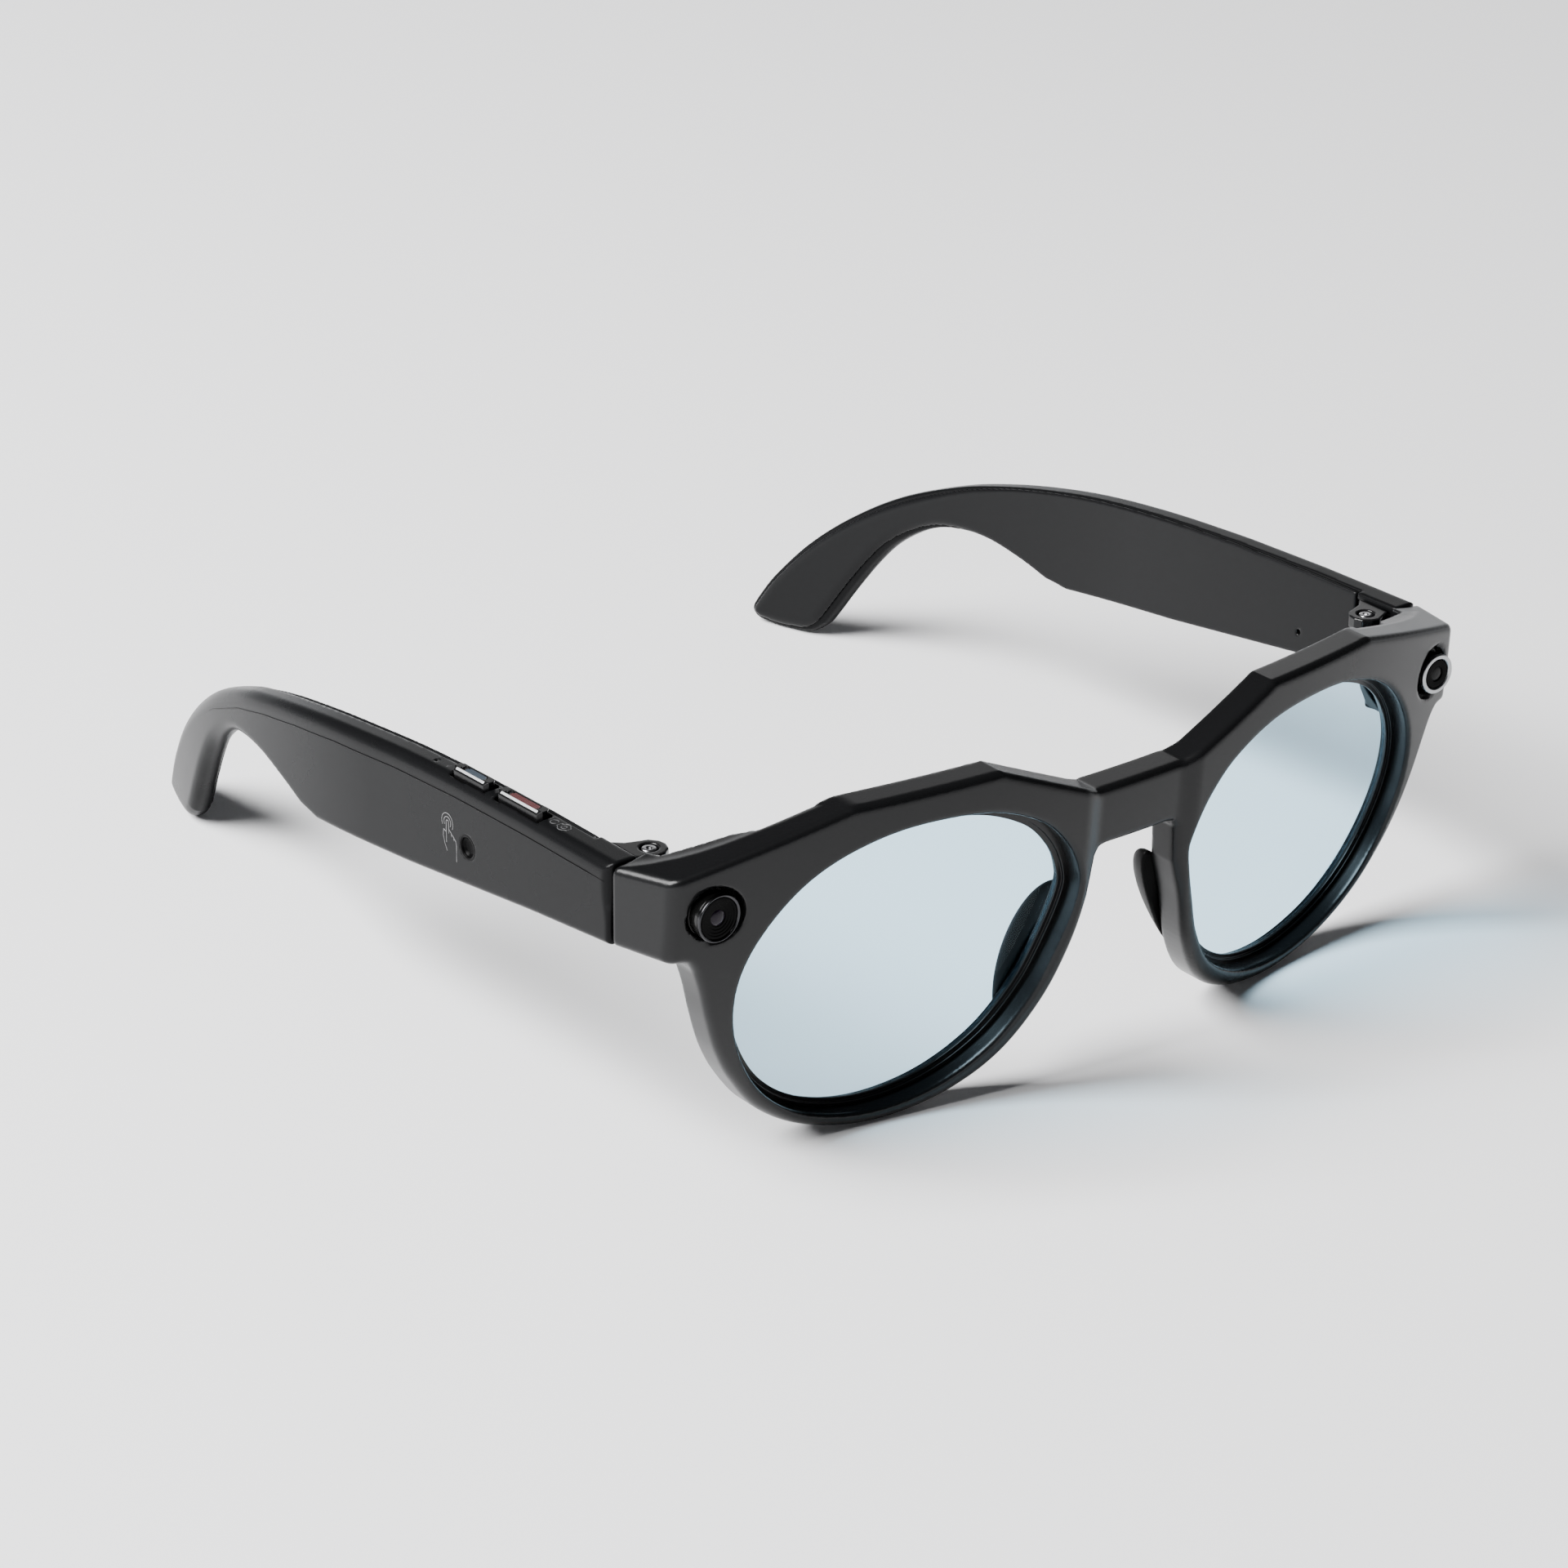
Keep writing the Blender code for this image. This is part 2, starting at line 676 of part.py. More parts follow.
def hang(obj, parent, pivot=(0, 0, 0)):
    """Parents a piece whose mesh is in the design frame to an empty at pivot."""
    obj.parent = parent
    obj.location = -Vector(pivot) * MM


def to_right(obj):
    """Moves a finished piece or helper across x = 0."""
    baked(obj)
    obj.data.transform(Matrix.Scale(-1, 4, (1, 0, 0)))
    obj.data.flip_normals()
    return obj


def make_charging_contacts(name):
    base = box(name, (72.65, 40.0, -9.2), (73.0, 50.0, -6.6))
    for number, y in enumerate(CONTACT_Y):
        join(base, cylinder(f"{name}_pin_{number}", (y, CONTACT_Z), "x", 0.7, TEMPLE_IN - 0.1, 72.8, sides=20))
    return base


def contact_hole(name, y):
    return cylinder(name, (y, CONTACT_Z), "x", 0.95, TEMPLE_IN - 1, COVER_OUT + 1, sides=20)


def speaker_port(name):
    return box(name, (72.4, 90.5, -25.0), (73.4, 95.5, -18.0))


def make_temples():
    """Both temples, as lists of the pieces on each."""
    left = [
        make_temple_shell("left_temple_shell"), make_temple_cover("left_temple_inner_cover"),
        make_hinge_bracket("left_hinge_bracket"), make_hinge_screw("left_hinge_screw"),
        make_battery("left_battery"), make_speaker("left_speaker"), make_microphone("left_microphone", *MIC_YZ),
    ]
    cut(left[0], speaker_port("left_speaker_port"))
    cut(left[1], pinhole("left_pinhole", *MIC_YZ))
    right = [mirrored(obj, obj.name.replace("left", "right")) for obj in left]
    shell, cover = right[:2]
    for name, span in BUTTONS.items():
        cut(shell, to_right(button_slot(name + "_slot", span)))
    cut(shell, to_right(cylinder("touch_dimple", TOUCH_YZ, "x", 1.8, TEMPLE_OUT - 0.4, TEMPLE_OUT + 1)))
    for number, y in enumerate(CONTACT_Y):
        cut(cover, to_right(contact_hole(f"contact_hole_{number}", y)))
    left.append(make_board("left_audio_board", 21.0, 52.0))
    right.append(to_right(make_board("right_main_board", 21.0, 52.0)))
    right.append(to_right(box("touch_sensor", (74.7, 37.0, -13.0), (75.1, 52.0, -8.0))))
    right.append(to_right(make_charging_contacts("charging_contacts")))
    for name, span in BUTTONS.items():
        right.append(to_right(make_switch(name.replace("button", "switch"), span)))
    return left, right


def make_front():
    pieces = [make_front_frame()]
    for make, name in ((make_lens, "lens"), (make_nose_pad, "nose_pad"), (make_bay_cover, "bay_cover"), (make_knuckle, "frame_knuckle")):
        left = make("left_" + name)
        pieces += [left, mirrored(left, "right_" + name)]
    return pieces + make_camera() + make_light()


def main():
    front = make_front()
    left, right = make_temples()
    root = empty("smart_glasses_root", (0, ROOT_Y, ROOT_Z))
    for obj in front:
        hang(obj, root)
    folds = {}
    for side, pieces, sign in (("left", left, 1), ("right", right, -1)):
        pivot = (sign * PIVOT_X, PIVOT_Y, 0)
        folds[side] = empty(side + "_fold_axis", pivot, root)
        for obj in pieces:
            hang(obj, folds[side], pivot)
    for name, span in BUTTONS.items():
        place = Vector((-sum(BUTTON_X) / 2, sum(span) / 2, BUTTON_BOTTOM))
        press = empty(name + "_press_axis", place - Vector((-PIVOT_X, PIVOT_Y, 0)), folds["right"])
        hang(to_right(make_button(name, span)), press, place)
    for helper, obj in reversed(HELPERS):
        helper.parent = obj.parent
        helper.location = obj.location
    for obj in PARTS.objects:
        if obj.type == "MESH":
            finish(obj)


main()
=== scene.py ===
"""The looks of the smart glasses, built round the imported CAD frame.

Lengths are in millimetres in the design frame: +X is the wearer's left, -Y is forward, +Z is up.
Limits are (low, high), and spans are limits along y.
Most pieces are surfaces of distance fields, so every edge has a real fillet.
"""

import math
from functools import partial

import bmesh
import bpy
import numpy as np
from mathutils import Matrix, Vector


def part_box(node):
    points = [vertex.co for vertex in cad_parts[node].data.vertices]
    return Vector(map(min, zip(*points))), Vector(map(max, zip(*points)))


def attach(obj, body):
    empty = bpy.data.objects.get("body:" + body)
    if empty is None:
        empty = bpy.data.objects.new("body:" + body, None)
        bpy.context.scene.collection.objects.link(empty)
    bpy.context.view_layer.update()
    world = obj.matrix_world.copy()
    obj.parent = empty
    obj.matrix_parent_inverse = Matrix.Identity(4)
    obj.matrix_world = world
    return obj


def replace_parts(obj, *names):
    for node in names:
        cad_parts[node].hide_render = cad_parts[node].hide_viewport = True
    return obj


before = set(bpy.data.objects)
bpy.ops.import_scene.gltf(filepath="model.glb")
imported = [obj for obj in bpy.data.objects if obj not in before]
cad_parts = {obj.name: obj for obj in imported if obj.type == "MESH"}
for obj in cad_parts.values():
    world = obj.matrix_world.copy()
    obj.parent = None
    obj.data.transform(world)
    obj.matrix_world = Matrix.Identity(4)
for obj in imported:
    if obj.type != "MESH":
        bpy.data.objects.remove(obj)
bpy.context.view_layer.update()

MM = 0.001
SIDES = (("left", False), ("right", True))  # name, and whether it is the mirror image

# Front: its face lies at y = NOSE_Y + WRAP x^2 + DROP (z - CROWN_Z)^2
NOSE_Y = -12.6
WRAP = 0.00233
DROP = 0.0034
CROWN_Z = 3.0
BRIDGE_SETBACK = 1.0
BRIDGE_EDGE = (7.0, 11.0)
PLATE = 5.4
HALF_WIDTH = 73.5
BROW_TOP_Z = 7.1
BROW_CORNER = (48.4, 6.7)
END_BOTTOM_Z = -12.8
BUTT_Y = 10.2
SIDE_SLOPE = math.atan2(2.9, BUTT_Y)
SCOOP_DEPTH = 0.95
SCOOP_REACH = 2.0

# Bay behind each module: its back runs from BAY_A to BAY_B, and a cover with a lip closes it
BAY_A = (61.0, 3.5)
BAY_B = (69.8, 7.8)
BAY_Z = (-11.4, -1.5)
BAY_COVER_Z = (-12.3, -0.5)
COVER_PLAY = 0.12
LIP_SLOPE = 1.18
LIP_END = 60.1
LIP_SCALE = 1.55

# Lens seat, as insets from the opening's edge and depths behind the face
WALL_DEPTH = 3.1
LEDGE_INSET = 0.8
LEDGE_DEPTH = 3.6
LIP_INSET = 1.5
SEAT_INSET = 0.8
SEAT_DEPTH = 4.0
LENS_INSET = 1.1
LENS_FRONT = 4.3
LENS_BACK = 5.4

# Nose pads: an ellipsoid turned about y, then z
PAD_MIDDLE = (13.0, -5.0, -28.0)
PAD_SIZE = (2.5, 6.4, 12.0)
PAD_TURNS = (-26, -8)

# Camera and light modules
MODULE_X = 67.8
MODULE_Z = -5.8
MODULE_Y = -2.7
POCKET_R = 4.3
POCKET_Y = -0.9
BORE_R = 3.75
BORE_Y = 1.2
CAMERA_R = 3.5
LIGHT_R = 3.1

# Hinge
PIVOT = (67.9, 13.2)
KNUCKLE_R = 2.2
KNUCKLE_Z = (-9.7, -3.5)
KNUCKLE_ROOM_Z = (-10.0, -3.2)
LEAF_X = (66.2, 68.4)
LEAF_ROOM_X = (65.9, 68.7)
LEAF_FRONT_Y = 5.4
EAR_Z = (-11.2, -1.3)
EAR_GAP_X = 71.4
SHOULDER_X = 71.2
SHOULDER_Z = -2.2
HEAD_ROOM_R = 1.42
HEAD_ROOM_Z = -2.35
SCREW_BORE_R = 0.95

# Temples
TEMPLE_OUT = 76.6
TEMPLE_IN = 71.6
COVER_OUT = 72.4
SHELL_IN = 72.65
SHELL_WALL = 1.2
HOLLOW_OUT = 75.4
HOLLOW_Y = (11.8, 104.0)
COVER_SEAT_Y = 18.9
TEMPLE_FRONT = 10.6
COVER_FRONT = 19.2
BEND_START = 70.0
BEND_LENGTH = 80.0
BEND_IN = 13.5
THROUGH_COVER = (60.0, 80.0)

# Small features of the temples, as (y, z)
MIC_HOLE = (31.2, -11.6)
CONTACT_HOLES = ((42.5, -7.9), (47.5, -7.9))
DIMPLE = (44.5, -11.1)
DIMPLE_R = 1.75

# Buttons and the features beside them on the temple's top, which has a small hole at (x, y)
BUTTON_SPANS = {"photo_button": (28.4, 38.9), "volume_button": (41.4, 49.9)}
BUTTON_X = (73.4, 75.4)
BUTTON_BOTTOM = -3.0
BUTTON_PROUD = 0.98
BUTTON_FALL = 0.035
BUTTON_BEVEL = 0.5
DIAGONAL = 0.707
SLOT_GAP = 0.25
SLOT_Z = (-4.0, 3.0)
TOP_HOLE = (74.3, 55.2)
SIGN_X = 74.1

# Outlines: the front's as (x, z), the temple's as (y, z), the scoop's as (x, y)
BROW = [
    (-8.0, -0.4), (8.1, -0.4), (25.5, BROW_TOP_Z), BROW_CORNER, (HALF_WIDTH, 0.0), (84.0, -2.8),
]
END_UNDER = [(84.0, END_BOTTOM_Z), (72.0, END_BOTTOM_Z)]
RIM = [
    (72.0, -12.8), (70.9, -13.1), (69.9, -14.4), (69.2, -16.2), (68.4, -18.8), (67.1, -23.5),
    (65.1, -29.2), (62.2, -34.6), (57.2, -40.8), (49.5, -45.6), (39.0, -48.0), (28.0, -46.4),
    (19.4, -41.4), (13.4, -32.6), (9.7, -22.0), (8.2, -17.0),
]
BRIDGE_UNDER = [(7.7, -12.6), (7.5, -10.9), (6.8, -9.8), (5.6, -9.6), (-8.0, -9.6)]
OPENING = [
    (38.5, 1.9), (47.5, 0.2), (54.6, -3.4), (60.0, -9.2), (63.2, -16.0), (63.6, -23.5),
    (61.2, -31.5), (56.5, -38.5), (49.5, -43.4), (39.5, -45.7), (29.5, -44.1), (21.3, -39.0),
    (16.0, -31.8), (13.0, -24.6), (10.6, -16.6), (10.9, -12.4), (13.6, -7.0), (18.5, -2.3),
    (27.0, 1.2),
]
TEMPLE_TOP = [
    (10.6, -0.5), (30.0, -0.9), (47.0, -1.6), (63.0, -2.8), (79.0, -4.7), (91.0, -6.8),
    (102.0, -9.3), (112.0, -12.3), (124.0, -17.4), (134.0, -23.6), (142.5, -30.6), (149.3, -38.2),
    (152.8, -43.4),
]
TEMPLE_TIP = [
    (152.8, -43.4), (153.7, -45.6), (152.6, -47.3), (149.6, -47.9), (145.6, -47.9), (141.8, -47.3),
    (139.0, -45.2),
]
TEMPLE_UNDER = [
    (139.0, -45.2), (137.2, -42.6), (134.0, -37.8), (129.5, -31.6), (125.0, -26.6), (119.5, -22.6),
    (114.5, -20.3), (109.0, -19.3), (103.0, -19.3), (96.0, -20.6), (90.5, -22.2),
]
TEMPLE_LOWER = [(85.5, -22.7), (60.0, -19.6), (30.0, -15.2), (10.6, -12.7)]
SCOOP = [
    (84.0, 16.0), (76.5, 10.2), (72.6, 6.6), (69.4, 4.3), (66.9, 2.9), (63.9, 1.6), (60.4, 0.4),
    (56.3, -0.9), (50.0, -2.6),
]

DESIGN_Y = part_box("left_temple_shell")[0].y / MM - TEMPLE_FRONT
DESIGN_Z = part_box("front_frame")[1].z / MM - BROW_TOP_Z


# Distance fields: negative inside, in millimetres


def smooth_step(low, high, value):
    t = np.clip((value - low) / (high - low), 0.0, 1.0)
    return t * t * (3 - 2 * t)


def both(a, b, radius):
    """Where both shapes are, with the edge between them rounded."""
    flat = np.minimum(np.maximum(a, b), -radius)
    return flat + np.hypot(np.maximum(a + radius, 0), np.maximum(b + radius, 0))


def either(a, b, radius):
    return -both(-a, -b, radius)


def without(a, b, radius):
    return both(a, -b, radius)


def between(value, limits):
    """Negative where a value lies between its limits."""
    return np.maximum(limits[0] - value, value - limits[1])


def curve_through(points, steps, closed=False):
    """Points on a smooth Catmull-Rom curve through the given ones."""
    count = len(points)
    found = []
    for i in range(count if closed else count - 1):
        a, b, c, d = (
            Vector(points[j % count] if closed else points[min(max(j, 0), count - 1)])
            for j in range(i - 1, i + 3)
        )
        for step in range(steps):
            t = step / steps
            found.append(0.5 * (
                2 * b + (c - a) * t + (2 * a - 5 * b + 4 * c - d) * t**2
                + (3 * b - a - 3 * c + d) * t**3
            ))
    if not closed:
        found.append(Vector(points[-1]))
    return [tuple(p) for p in found]


def inset(loop, amount):
    """A closed clockwise loop moved inwards by an amount."""
    found = []
    for i, point in enumerate(loop):
        along = (Vector(loop[(i + 1) % len(loop)]) - Vector(loop[i - 1])).normalized()
        found.append((point[0] + along.y * amount, point[1] - along.x * amount))
    return found


def eased(profile, radius, closed=False):
    """The profile with each corner rounded by a short curve."""
    found = []
    count = len(profile)
    for i, point in enumerate(profile):
        if not closed and i in (0, count - 1):
            found.append(point)
            continue
        corner = Vector(point)
        before, after = Vector(profile[i - 1]), Vector(profile[(i + 1) % count])
        reach = [min(radius, (side - corner).length * 0.45) for side in (before, after)]
        start = corner + (before - corner).normalized() * reach[0]
        end = corner + (after - corner).normalized() * reach[1]
        for t in (0, 0.25, 0.5, 0.75, 1):
            found.append(tuple(start.lerp(corner, t).lerp(corner.lerp(end, t), t)))
    return found


def polygon(u, v, loop):
    """Signed distance to a closed loop in a plane."""
    u, v = np.broadcast_arrays(np.asarray(u, np.float32), np.asarray(v, np.float32))
    nearest = np.full(u.shape, 1e9, np.float32)
    inside = np.zeros(u.shape, bool)
    for (ax, ay), (bx, by) in zip(loop, loop[1:] + loop[:1]):
        ex, ey = bx - ax, by - ay
        wx, wy = u - np.float32(ax), v - np.float32(ay)
        t = np.clip((wx * ex + wy * ey) / max(ex * ex + ey * ey, 1e-9), 0, 1)
        nearest = np.minimum(nearest, (wx - ex * t) ** 2 + (wy - ey * t) ** 2)
        if ey:
            inside ^= ((ay > v) != (by > v)) & (wx < wy * (ex / ey))
    return np.sqrt(nearest) * np.where(inside, np.float32(-1), np.float32(1))


def block(point, low, high, radius):
    """A box with rounded edges."""
    reach = [
        np.abs(p - (a + b) / 2) - (b - a) / 2 + radius for p, a, b in zip(point, low, high)
    ]
    outside = np.sqrt(sum(np.maximum(r, 0) ** 2 for r in reach))
    deepest = np.maximum(np.maximum(reach[0], reach[1]), reach[2])
    return outside + np.minimum(deepest, 0) - radius


def post(u, v, w, middle, radius, limits, edge):
    """A cylinder whose axis runs along w, between its limits."""
    return both(np.hypot(u - middle[0], v - middle[1]) - radius, between(w, limits), edge)


# Surfaces of the fields

OFFSETS = [(i, j, k) for i in (0, 1) for j in (0, 1) for k in (0, 1)]
CELL_EDGES = [
    (a, b) for a in range(8) for b in range(a + 1, 8) if bin(a ^ b).count("1") == 1
]
SLOPE_PROBE = 0.02


def corner_slices(shape, offset):
    return tuple(slice(o, n - 1 + o) for o, n in zip(offset, shape))


def surface_net(values, axes):
    """Points and quads where the values on a grid change sign."""
    inside = values < 0
    count = sum(inside[corner_slices(values.shape, o)].astype(np.int8) for o in OFFSETS)
    cells = np.argwhere((count > 0) & (count < 8))
    number = np.full(count.shape, -1, np.int64)
    number[tuple(cells.T)] = np.arange(len(cells))
    total = np.zeros((len(cells), 3))
    hits = np.zeros(len(cells))
    corner = [values[tuple((cells + o).T)] for o in OFFSETS]
    for a, b in CELL_EDGES:
        crossed = (corner[a] < 0) != (corner[b] < 0)
        share = corner[a] / np.where(crossed, corner[a] - corner[b], 1)
        place = np.array(OFFSETS[a]) + share[:, None] * (np.array(OFFSETS[b]) - OFFSETS[a])
        total += np.where(crossed[:, None], place, 0)
        hits += crossed
    steps = np.array([axis[1] - axis[0] for axis in axes])
    points = (cells + total / hits[:, None]) * steps + [axis[0] for axis in axes]
    quads = []
    for axis in range(3):
        ahead = [slice(None)] * 3
        ahead[axis] = slice(1, None)
        back = [slice(None)] * 3
        back[axis] = slice(None, -1)
        edges = np.argwhere(inside[tuple(ahead)] != inside[tuple(back)])
        others = [d for d in range(3) if d != axis]
        whole = (edges[:, others] > 0) & (edges[:, others] < np.array(count.shape)[others])
        edges = edges[whole.all(1)]
        first, second = np.eye(3, dtype=int)[others]
        corners = [
            number[tuple((edges - s).T)] for s in (0 * first, first, first + second, second)
        ]
        quad = np.stack(corners, 1)
        outward = inside[tuple(edges.T)] if axis != 1 else ~inside[tuple(edges.T)]
        quads.append(np.where(outward[:, None], quad, quad[:, ::-1]))
    return points, np.concatenate(quads)


def settle(field, points, step):
    """Moves the points onto the surface, along its own slope."""
    for _ in range(3):
        x, y, z = points.T
        here = field(x, y, z)
        slope = np.stack([
            field(x + SLOPE_PROBE, y, z) - here,
            field(x, y + SLOPE_PROBE, z) - here,
            field(x, y, z + SLOPE_PROBE) - here,
        ], 1) / SLOPE_PROBE
        length = np.maximum((slope**2).sum(1), 0.05)
        move = -slope * (here / length)[:, None]
        far = np.linalg.norm(move, axis=1)
        points = points + move * (np.minimum(far, 0.5 * step) / np.maximum(far, 1e-9))[:, None]
    return points


def across(points, mirror):
    """The points, or their mirror image on the wearer's right."""
    return np.asarray(points) * [-1 if mirror else 1, 1, 1]


def ring_faces(rows, count, closed=False):
    """Faces between rows of count points, and the caps at both ends of an open run."""
    faces = []
    for row in range(rows if closed else rows - 1):
        after = (row + 1) % rows
        for i in range(count):
            j = (i + 1) % count
            faces.append(
                (row * count + i, row * count + j, after * count + j, after * count + i)
            )
    last = (rows - 1) * count
    caps = [tuple(reversed(range(count))), tuple(range(last, last + count))]
    return faces, [] if closed else caps


def piece(name, points, faces, body, slot, caps=(), reverse=False, material=None):
    """A mesh from points in the design frame, riding on a body."""
    mesh = bpy.data.meshes.new(name)
    placed = (np.asarray(points) + [0, DESIGN_Y, DESIGN_Z]) * MM
    every = [tuple(f) for f in np.asarray(faces).tolist()] + list(caps)
    mesh.from_pydata(placed.tolist(), [], [f[::-1] for f in every] if reverse else every)
    mesh.shade_smooth()
    obj = bpy.data.objects.new(name, mesh)
    bpy.context.scene.collection.objects.link(obj)
    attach(obj, body)
    obj.data.materials.append(material or FINISH[slot])
    return obj


def solid(name, field, low, high, step, body, slot, shape=None, mirror=False, material=None):
    """A mesh piece on the surface of a field, riding on a body."""
    axes = [np.arange(a - 1.3 * step, b + 2.3 * step, step) for a, b in zip(low, high)]
    grid = np.meshgrid(*axes, indexing="ij", sparse=True)
    values = np.broadcast_to(field(*grid), [len(a) for a in axes])
    points, quads = surface_net(values, axes)
    points = settle(field, points, step)
    if shape:
        points = shape(points)
    points = across(points, mirror)
    return piece(name, points, quads, body, slot, reverse=mirror, material=material)


# Materials

BLOTCH = 0.06
CLOUD_SIZE = 14.0
BUMP_HEIGHT = 0.05


def finish(
    slot, color, roughness, metallic=0.0, grain=0.02, grain_size=0.25, wear=0.0, index=1.5,
):
    """A finish with a fine surface grain, uneven gloss and a little tone variation."""
    made = bpy.data.materials.new(slot)
    made.use_nodes = True
    nodes, links = made.node_tree.nodes, made.node_tree.links
    shader = nodes["Principled BSDF"]
    shader.inputs["Metallic"].default_value = metallic
    shader.inputs["IOR"].default_value = index
    place = nodes.new("ShaderNodeTexCoord")

    def noise(size, detail):
        node = nodes.new("ShaderNodeTexNoise")
        node.inputs["Scale"].default_value = 1 / (size * MM)
        node.inputs["Detail"].default_value = detail
        links.new(place.outputs["Object"], node.inputs["Vector"])
        return node

    def mixed(factor, b):
        node = nodes.new("ShaderNodeMix")
        node.data_type = "RGBA"
        node.inputs["B"].default_value = (*[min(c, 1) for c in b], 1)
        links.new(factor, node.inputs["Factor"])
        return node

    def spread(source, from_limits, to_limits):
        node = nodes.new("ShaderNodeMapRange")
        node.inputs["From Min"].default_value, node.inputs["From Max"].default_value = from_limits
        node.inputs["To Min"].default_value, node.inputs["To Max"].default_value = to_limits
        links.new(source, node.inputs["Value"])
        return node.outputs["Result"]

    cloud = noise(CLOUD_SIZE, 4)
    grit = noise(grain_size, 3)
    gloss = (roughness * (1 - BLOTCH), roughness * (1 + BLOTCH))
    links.new(spread(cloud.outputs["Fac"], (0.3, 0.7), gloss), shader.inputs["Roughness"])
    tone = mixed(grit.outputs["Fac"], [c * 1.12 for c in color])
    tone.inputs["A"].default_value = (*[c * 0.9 for c in color], 1)
    base = tone.outputs["Result"]
    if wear:
        point = nodes.new("ShaderNodeNewGeometry")
        edge = spread(point.outputs["Pointiness"], (0.53, 0.62), (0.0, wear))
        worn = mixed(edge, [c * 1.6 + 0.004 for c in color])
        links.new(base, worn.inputs["A"])
        base = worn.outputs["Result"]
    links.new(base, shader.inputs["Base Color"])
    bump = nodes.new("ShaderNodeBump")
    bump.inputs["Strength"].default_value = grain
    bump.inputs["Distance"].default_value = BUMP_HEIGHT * MM
    links.new(grit.outputs["Fac"], bump.inputs["Height"])
    links.new(bump.outputs["Normal"], shader.inputs["Normal"])
    return made


def lens_finish(slot, tint):
    """Clear and faintly tinted, with an even coating that mirrors most at its edges."""
    made = bpy.data.materials.new(slot)
    made.use_nodes = True
    nodes, links = made.node_tree.nodes, made.node_tree.links
    nodes.clear()
    clear = nodes.new("ShaderNodeBsdfTransparent")
    clear.inputs["Color"].default_value = (*tint, 1)
    gloss = nodes.new("ShaderNodeBsdfGlossy")
    gloss.inputs["Roughness"].default_value = 0.04
    angle = nodes.new("ShaderNodeLayerWeight")
    angle.inputs["Blend"].default_value = 0.15
    share = nodes.new("ShaderNodeMapRange")
    share.inputs["To Min"].default_value = 0.003
    share.inputs["To Max"].default_value = 0.05
    blend = nodes.new("ShaderNodeMixShader")
    links.new(angle.outputs["Facing"], share.inputs["Value"])
    links.new(share.outputs["Result"], blend.inputs["Fac"])
    links.new(clear.outputs["BSDF"], blend.inputs[1])
    links.new(gloss.outputs["BSDF"], blend.inputs[2])
    out = nodes.new("ShaderNodeOutputMaterial")
    links.new(blend.outputs["Shader"], out.inputs["Surface"])
    return made


BLACK = (0.0036, 0.0037, 0.004)
FAINT_BLACK = (0.0015, 0.0015, 0.0015)

FINISH = {
    "frame": finish("frame", BLACK, 0.26, wear=0.3, index=1.3),
    "temple_shell": finish("temple_shell", BLACK, 0.28, wear=0.3, index=1.16),
    "temple_cover": finish("temple_cover", BLACK, 0.3, wear=0.3, index=1.22),
    "bay_cover": finish("bay_cover", (0.0016, 0.0016, 0.0017), 0.35, index=1.12),
    "lens": lens_finish("lens", (0.77, 0.92, 1.0)),
    "nose_pad": finish("nose_pad", FAINT_BLACK, 0.42, grain=0.05, grain_size=0.15, index=1.12),
    "module_body": finish("module_body", (0.002, 0.002, 0.002), 0.14, grain=0.01, index=1.35),
    "camera_ring": finish("camera_ring", (0.035, 0.035, 0.037), 0.22, 1.0, grain_size=0.08),
    "light_ring": finish("light_ring", (0.36, 0.365, 0.37), 0.36, 1.0, grain_size=0.08),
    "camera_glass": finish("camera_glass", (0.0008, 0.0008, 0.0008), 0.1, grain=0.0, index=1.1),
    "light_window": finish("light_window", (0.008, 0.0083, 0.008), 0.3, grain=0.01, index=1.2),
    "sensor": finish("sensor", (0.03, 0.03, 0.03), 0.5),
    "board": finish("board", (0.01, 0.07, 0.035), 0.4, grain_size=0.5),
    "hinge_metal": finish("hinge_metal", (0.005, 0.005, 0.0053), 0.2, wear=0.4, index=1.35),
    "hinge_screw": finish("hinge_screw", (0.42, 0.42, 0.43), 0.25, 1.0, 0.01, grain_size=0.1),
    "battery": finish("battery", (0.5, 0.51, 0.53), 0.35, 0.8, 0.06, grain_size=0.8),
    "speaker": finish("speaker", (0.03, 0.03, 0.03), 0.5),
    "microphone": finish("microphone", (0.5, 0.5, 0.48), 0.3, 1.0),
    "flex": finish("flex", (0.4, 0.2, 0.05), 0.4),
    "contacts": finish("contacts", (0.85, 0.66, 0.28), 0.22, 1.0),
    "switch": finish("switch", (0.5, 0.5, 0.5), 0.35, 0.9),
    "photo_button": finish("photo_button", (0.035, 0.003, 0.004), 0.35, grain_size=0.08),
    "volume_button": finish("volume_button", (0.012, 0.019, 0.028), 0.35, grain_size=0.08),
}
BUTTON_STEEL = finish("button_steel", (0.55, 0.56, 0.57), 0.3, 0.5, grain_size=0.06)
BUTTON_BODY = finish("button_body", (0.003, 0.003, 0.0032), 0.26, index=1.25)
# Near-black for the seams, which are dark joints, and for the dimple's bowl, where the near-black
# is painted shade in its hollow.
SEAM_AND_SHADE_BLACK = finish("seam_and_shade_black", (0.0012, 0.0012, 0.0013), 0.3, grain=0.0, index=1.12)
PRINT = finish("sign_print", (0.13, 0.13, 0.133), 0.5)
PRINT_FAINT = finish("faint_print", (0.05, 0.05, 0.052), 0.5)
LENS_EYE = finish("lens_eye", (0.006, 0.003, 0.008), 0.05, grain=0.0, index=1.25)


# Front frame


def front_y(x, z):
    setback = BRIDGE_SETBACK * (1 - smooth_step(*BRIDGE_EDGE, x))
    return NOSE_Y + WRAP * x**2 + DROP * (z - CROWN_Z) ** 2 + setback


def face_lean(x, z):
    """How much shorter a distance square to the face is than one along y."""
    return 1 / np.sqrt(1 + (2 * WRAP * x) ** 2 + (2 * DROP * (z - CROWN_Z)) ** 2)


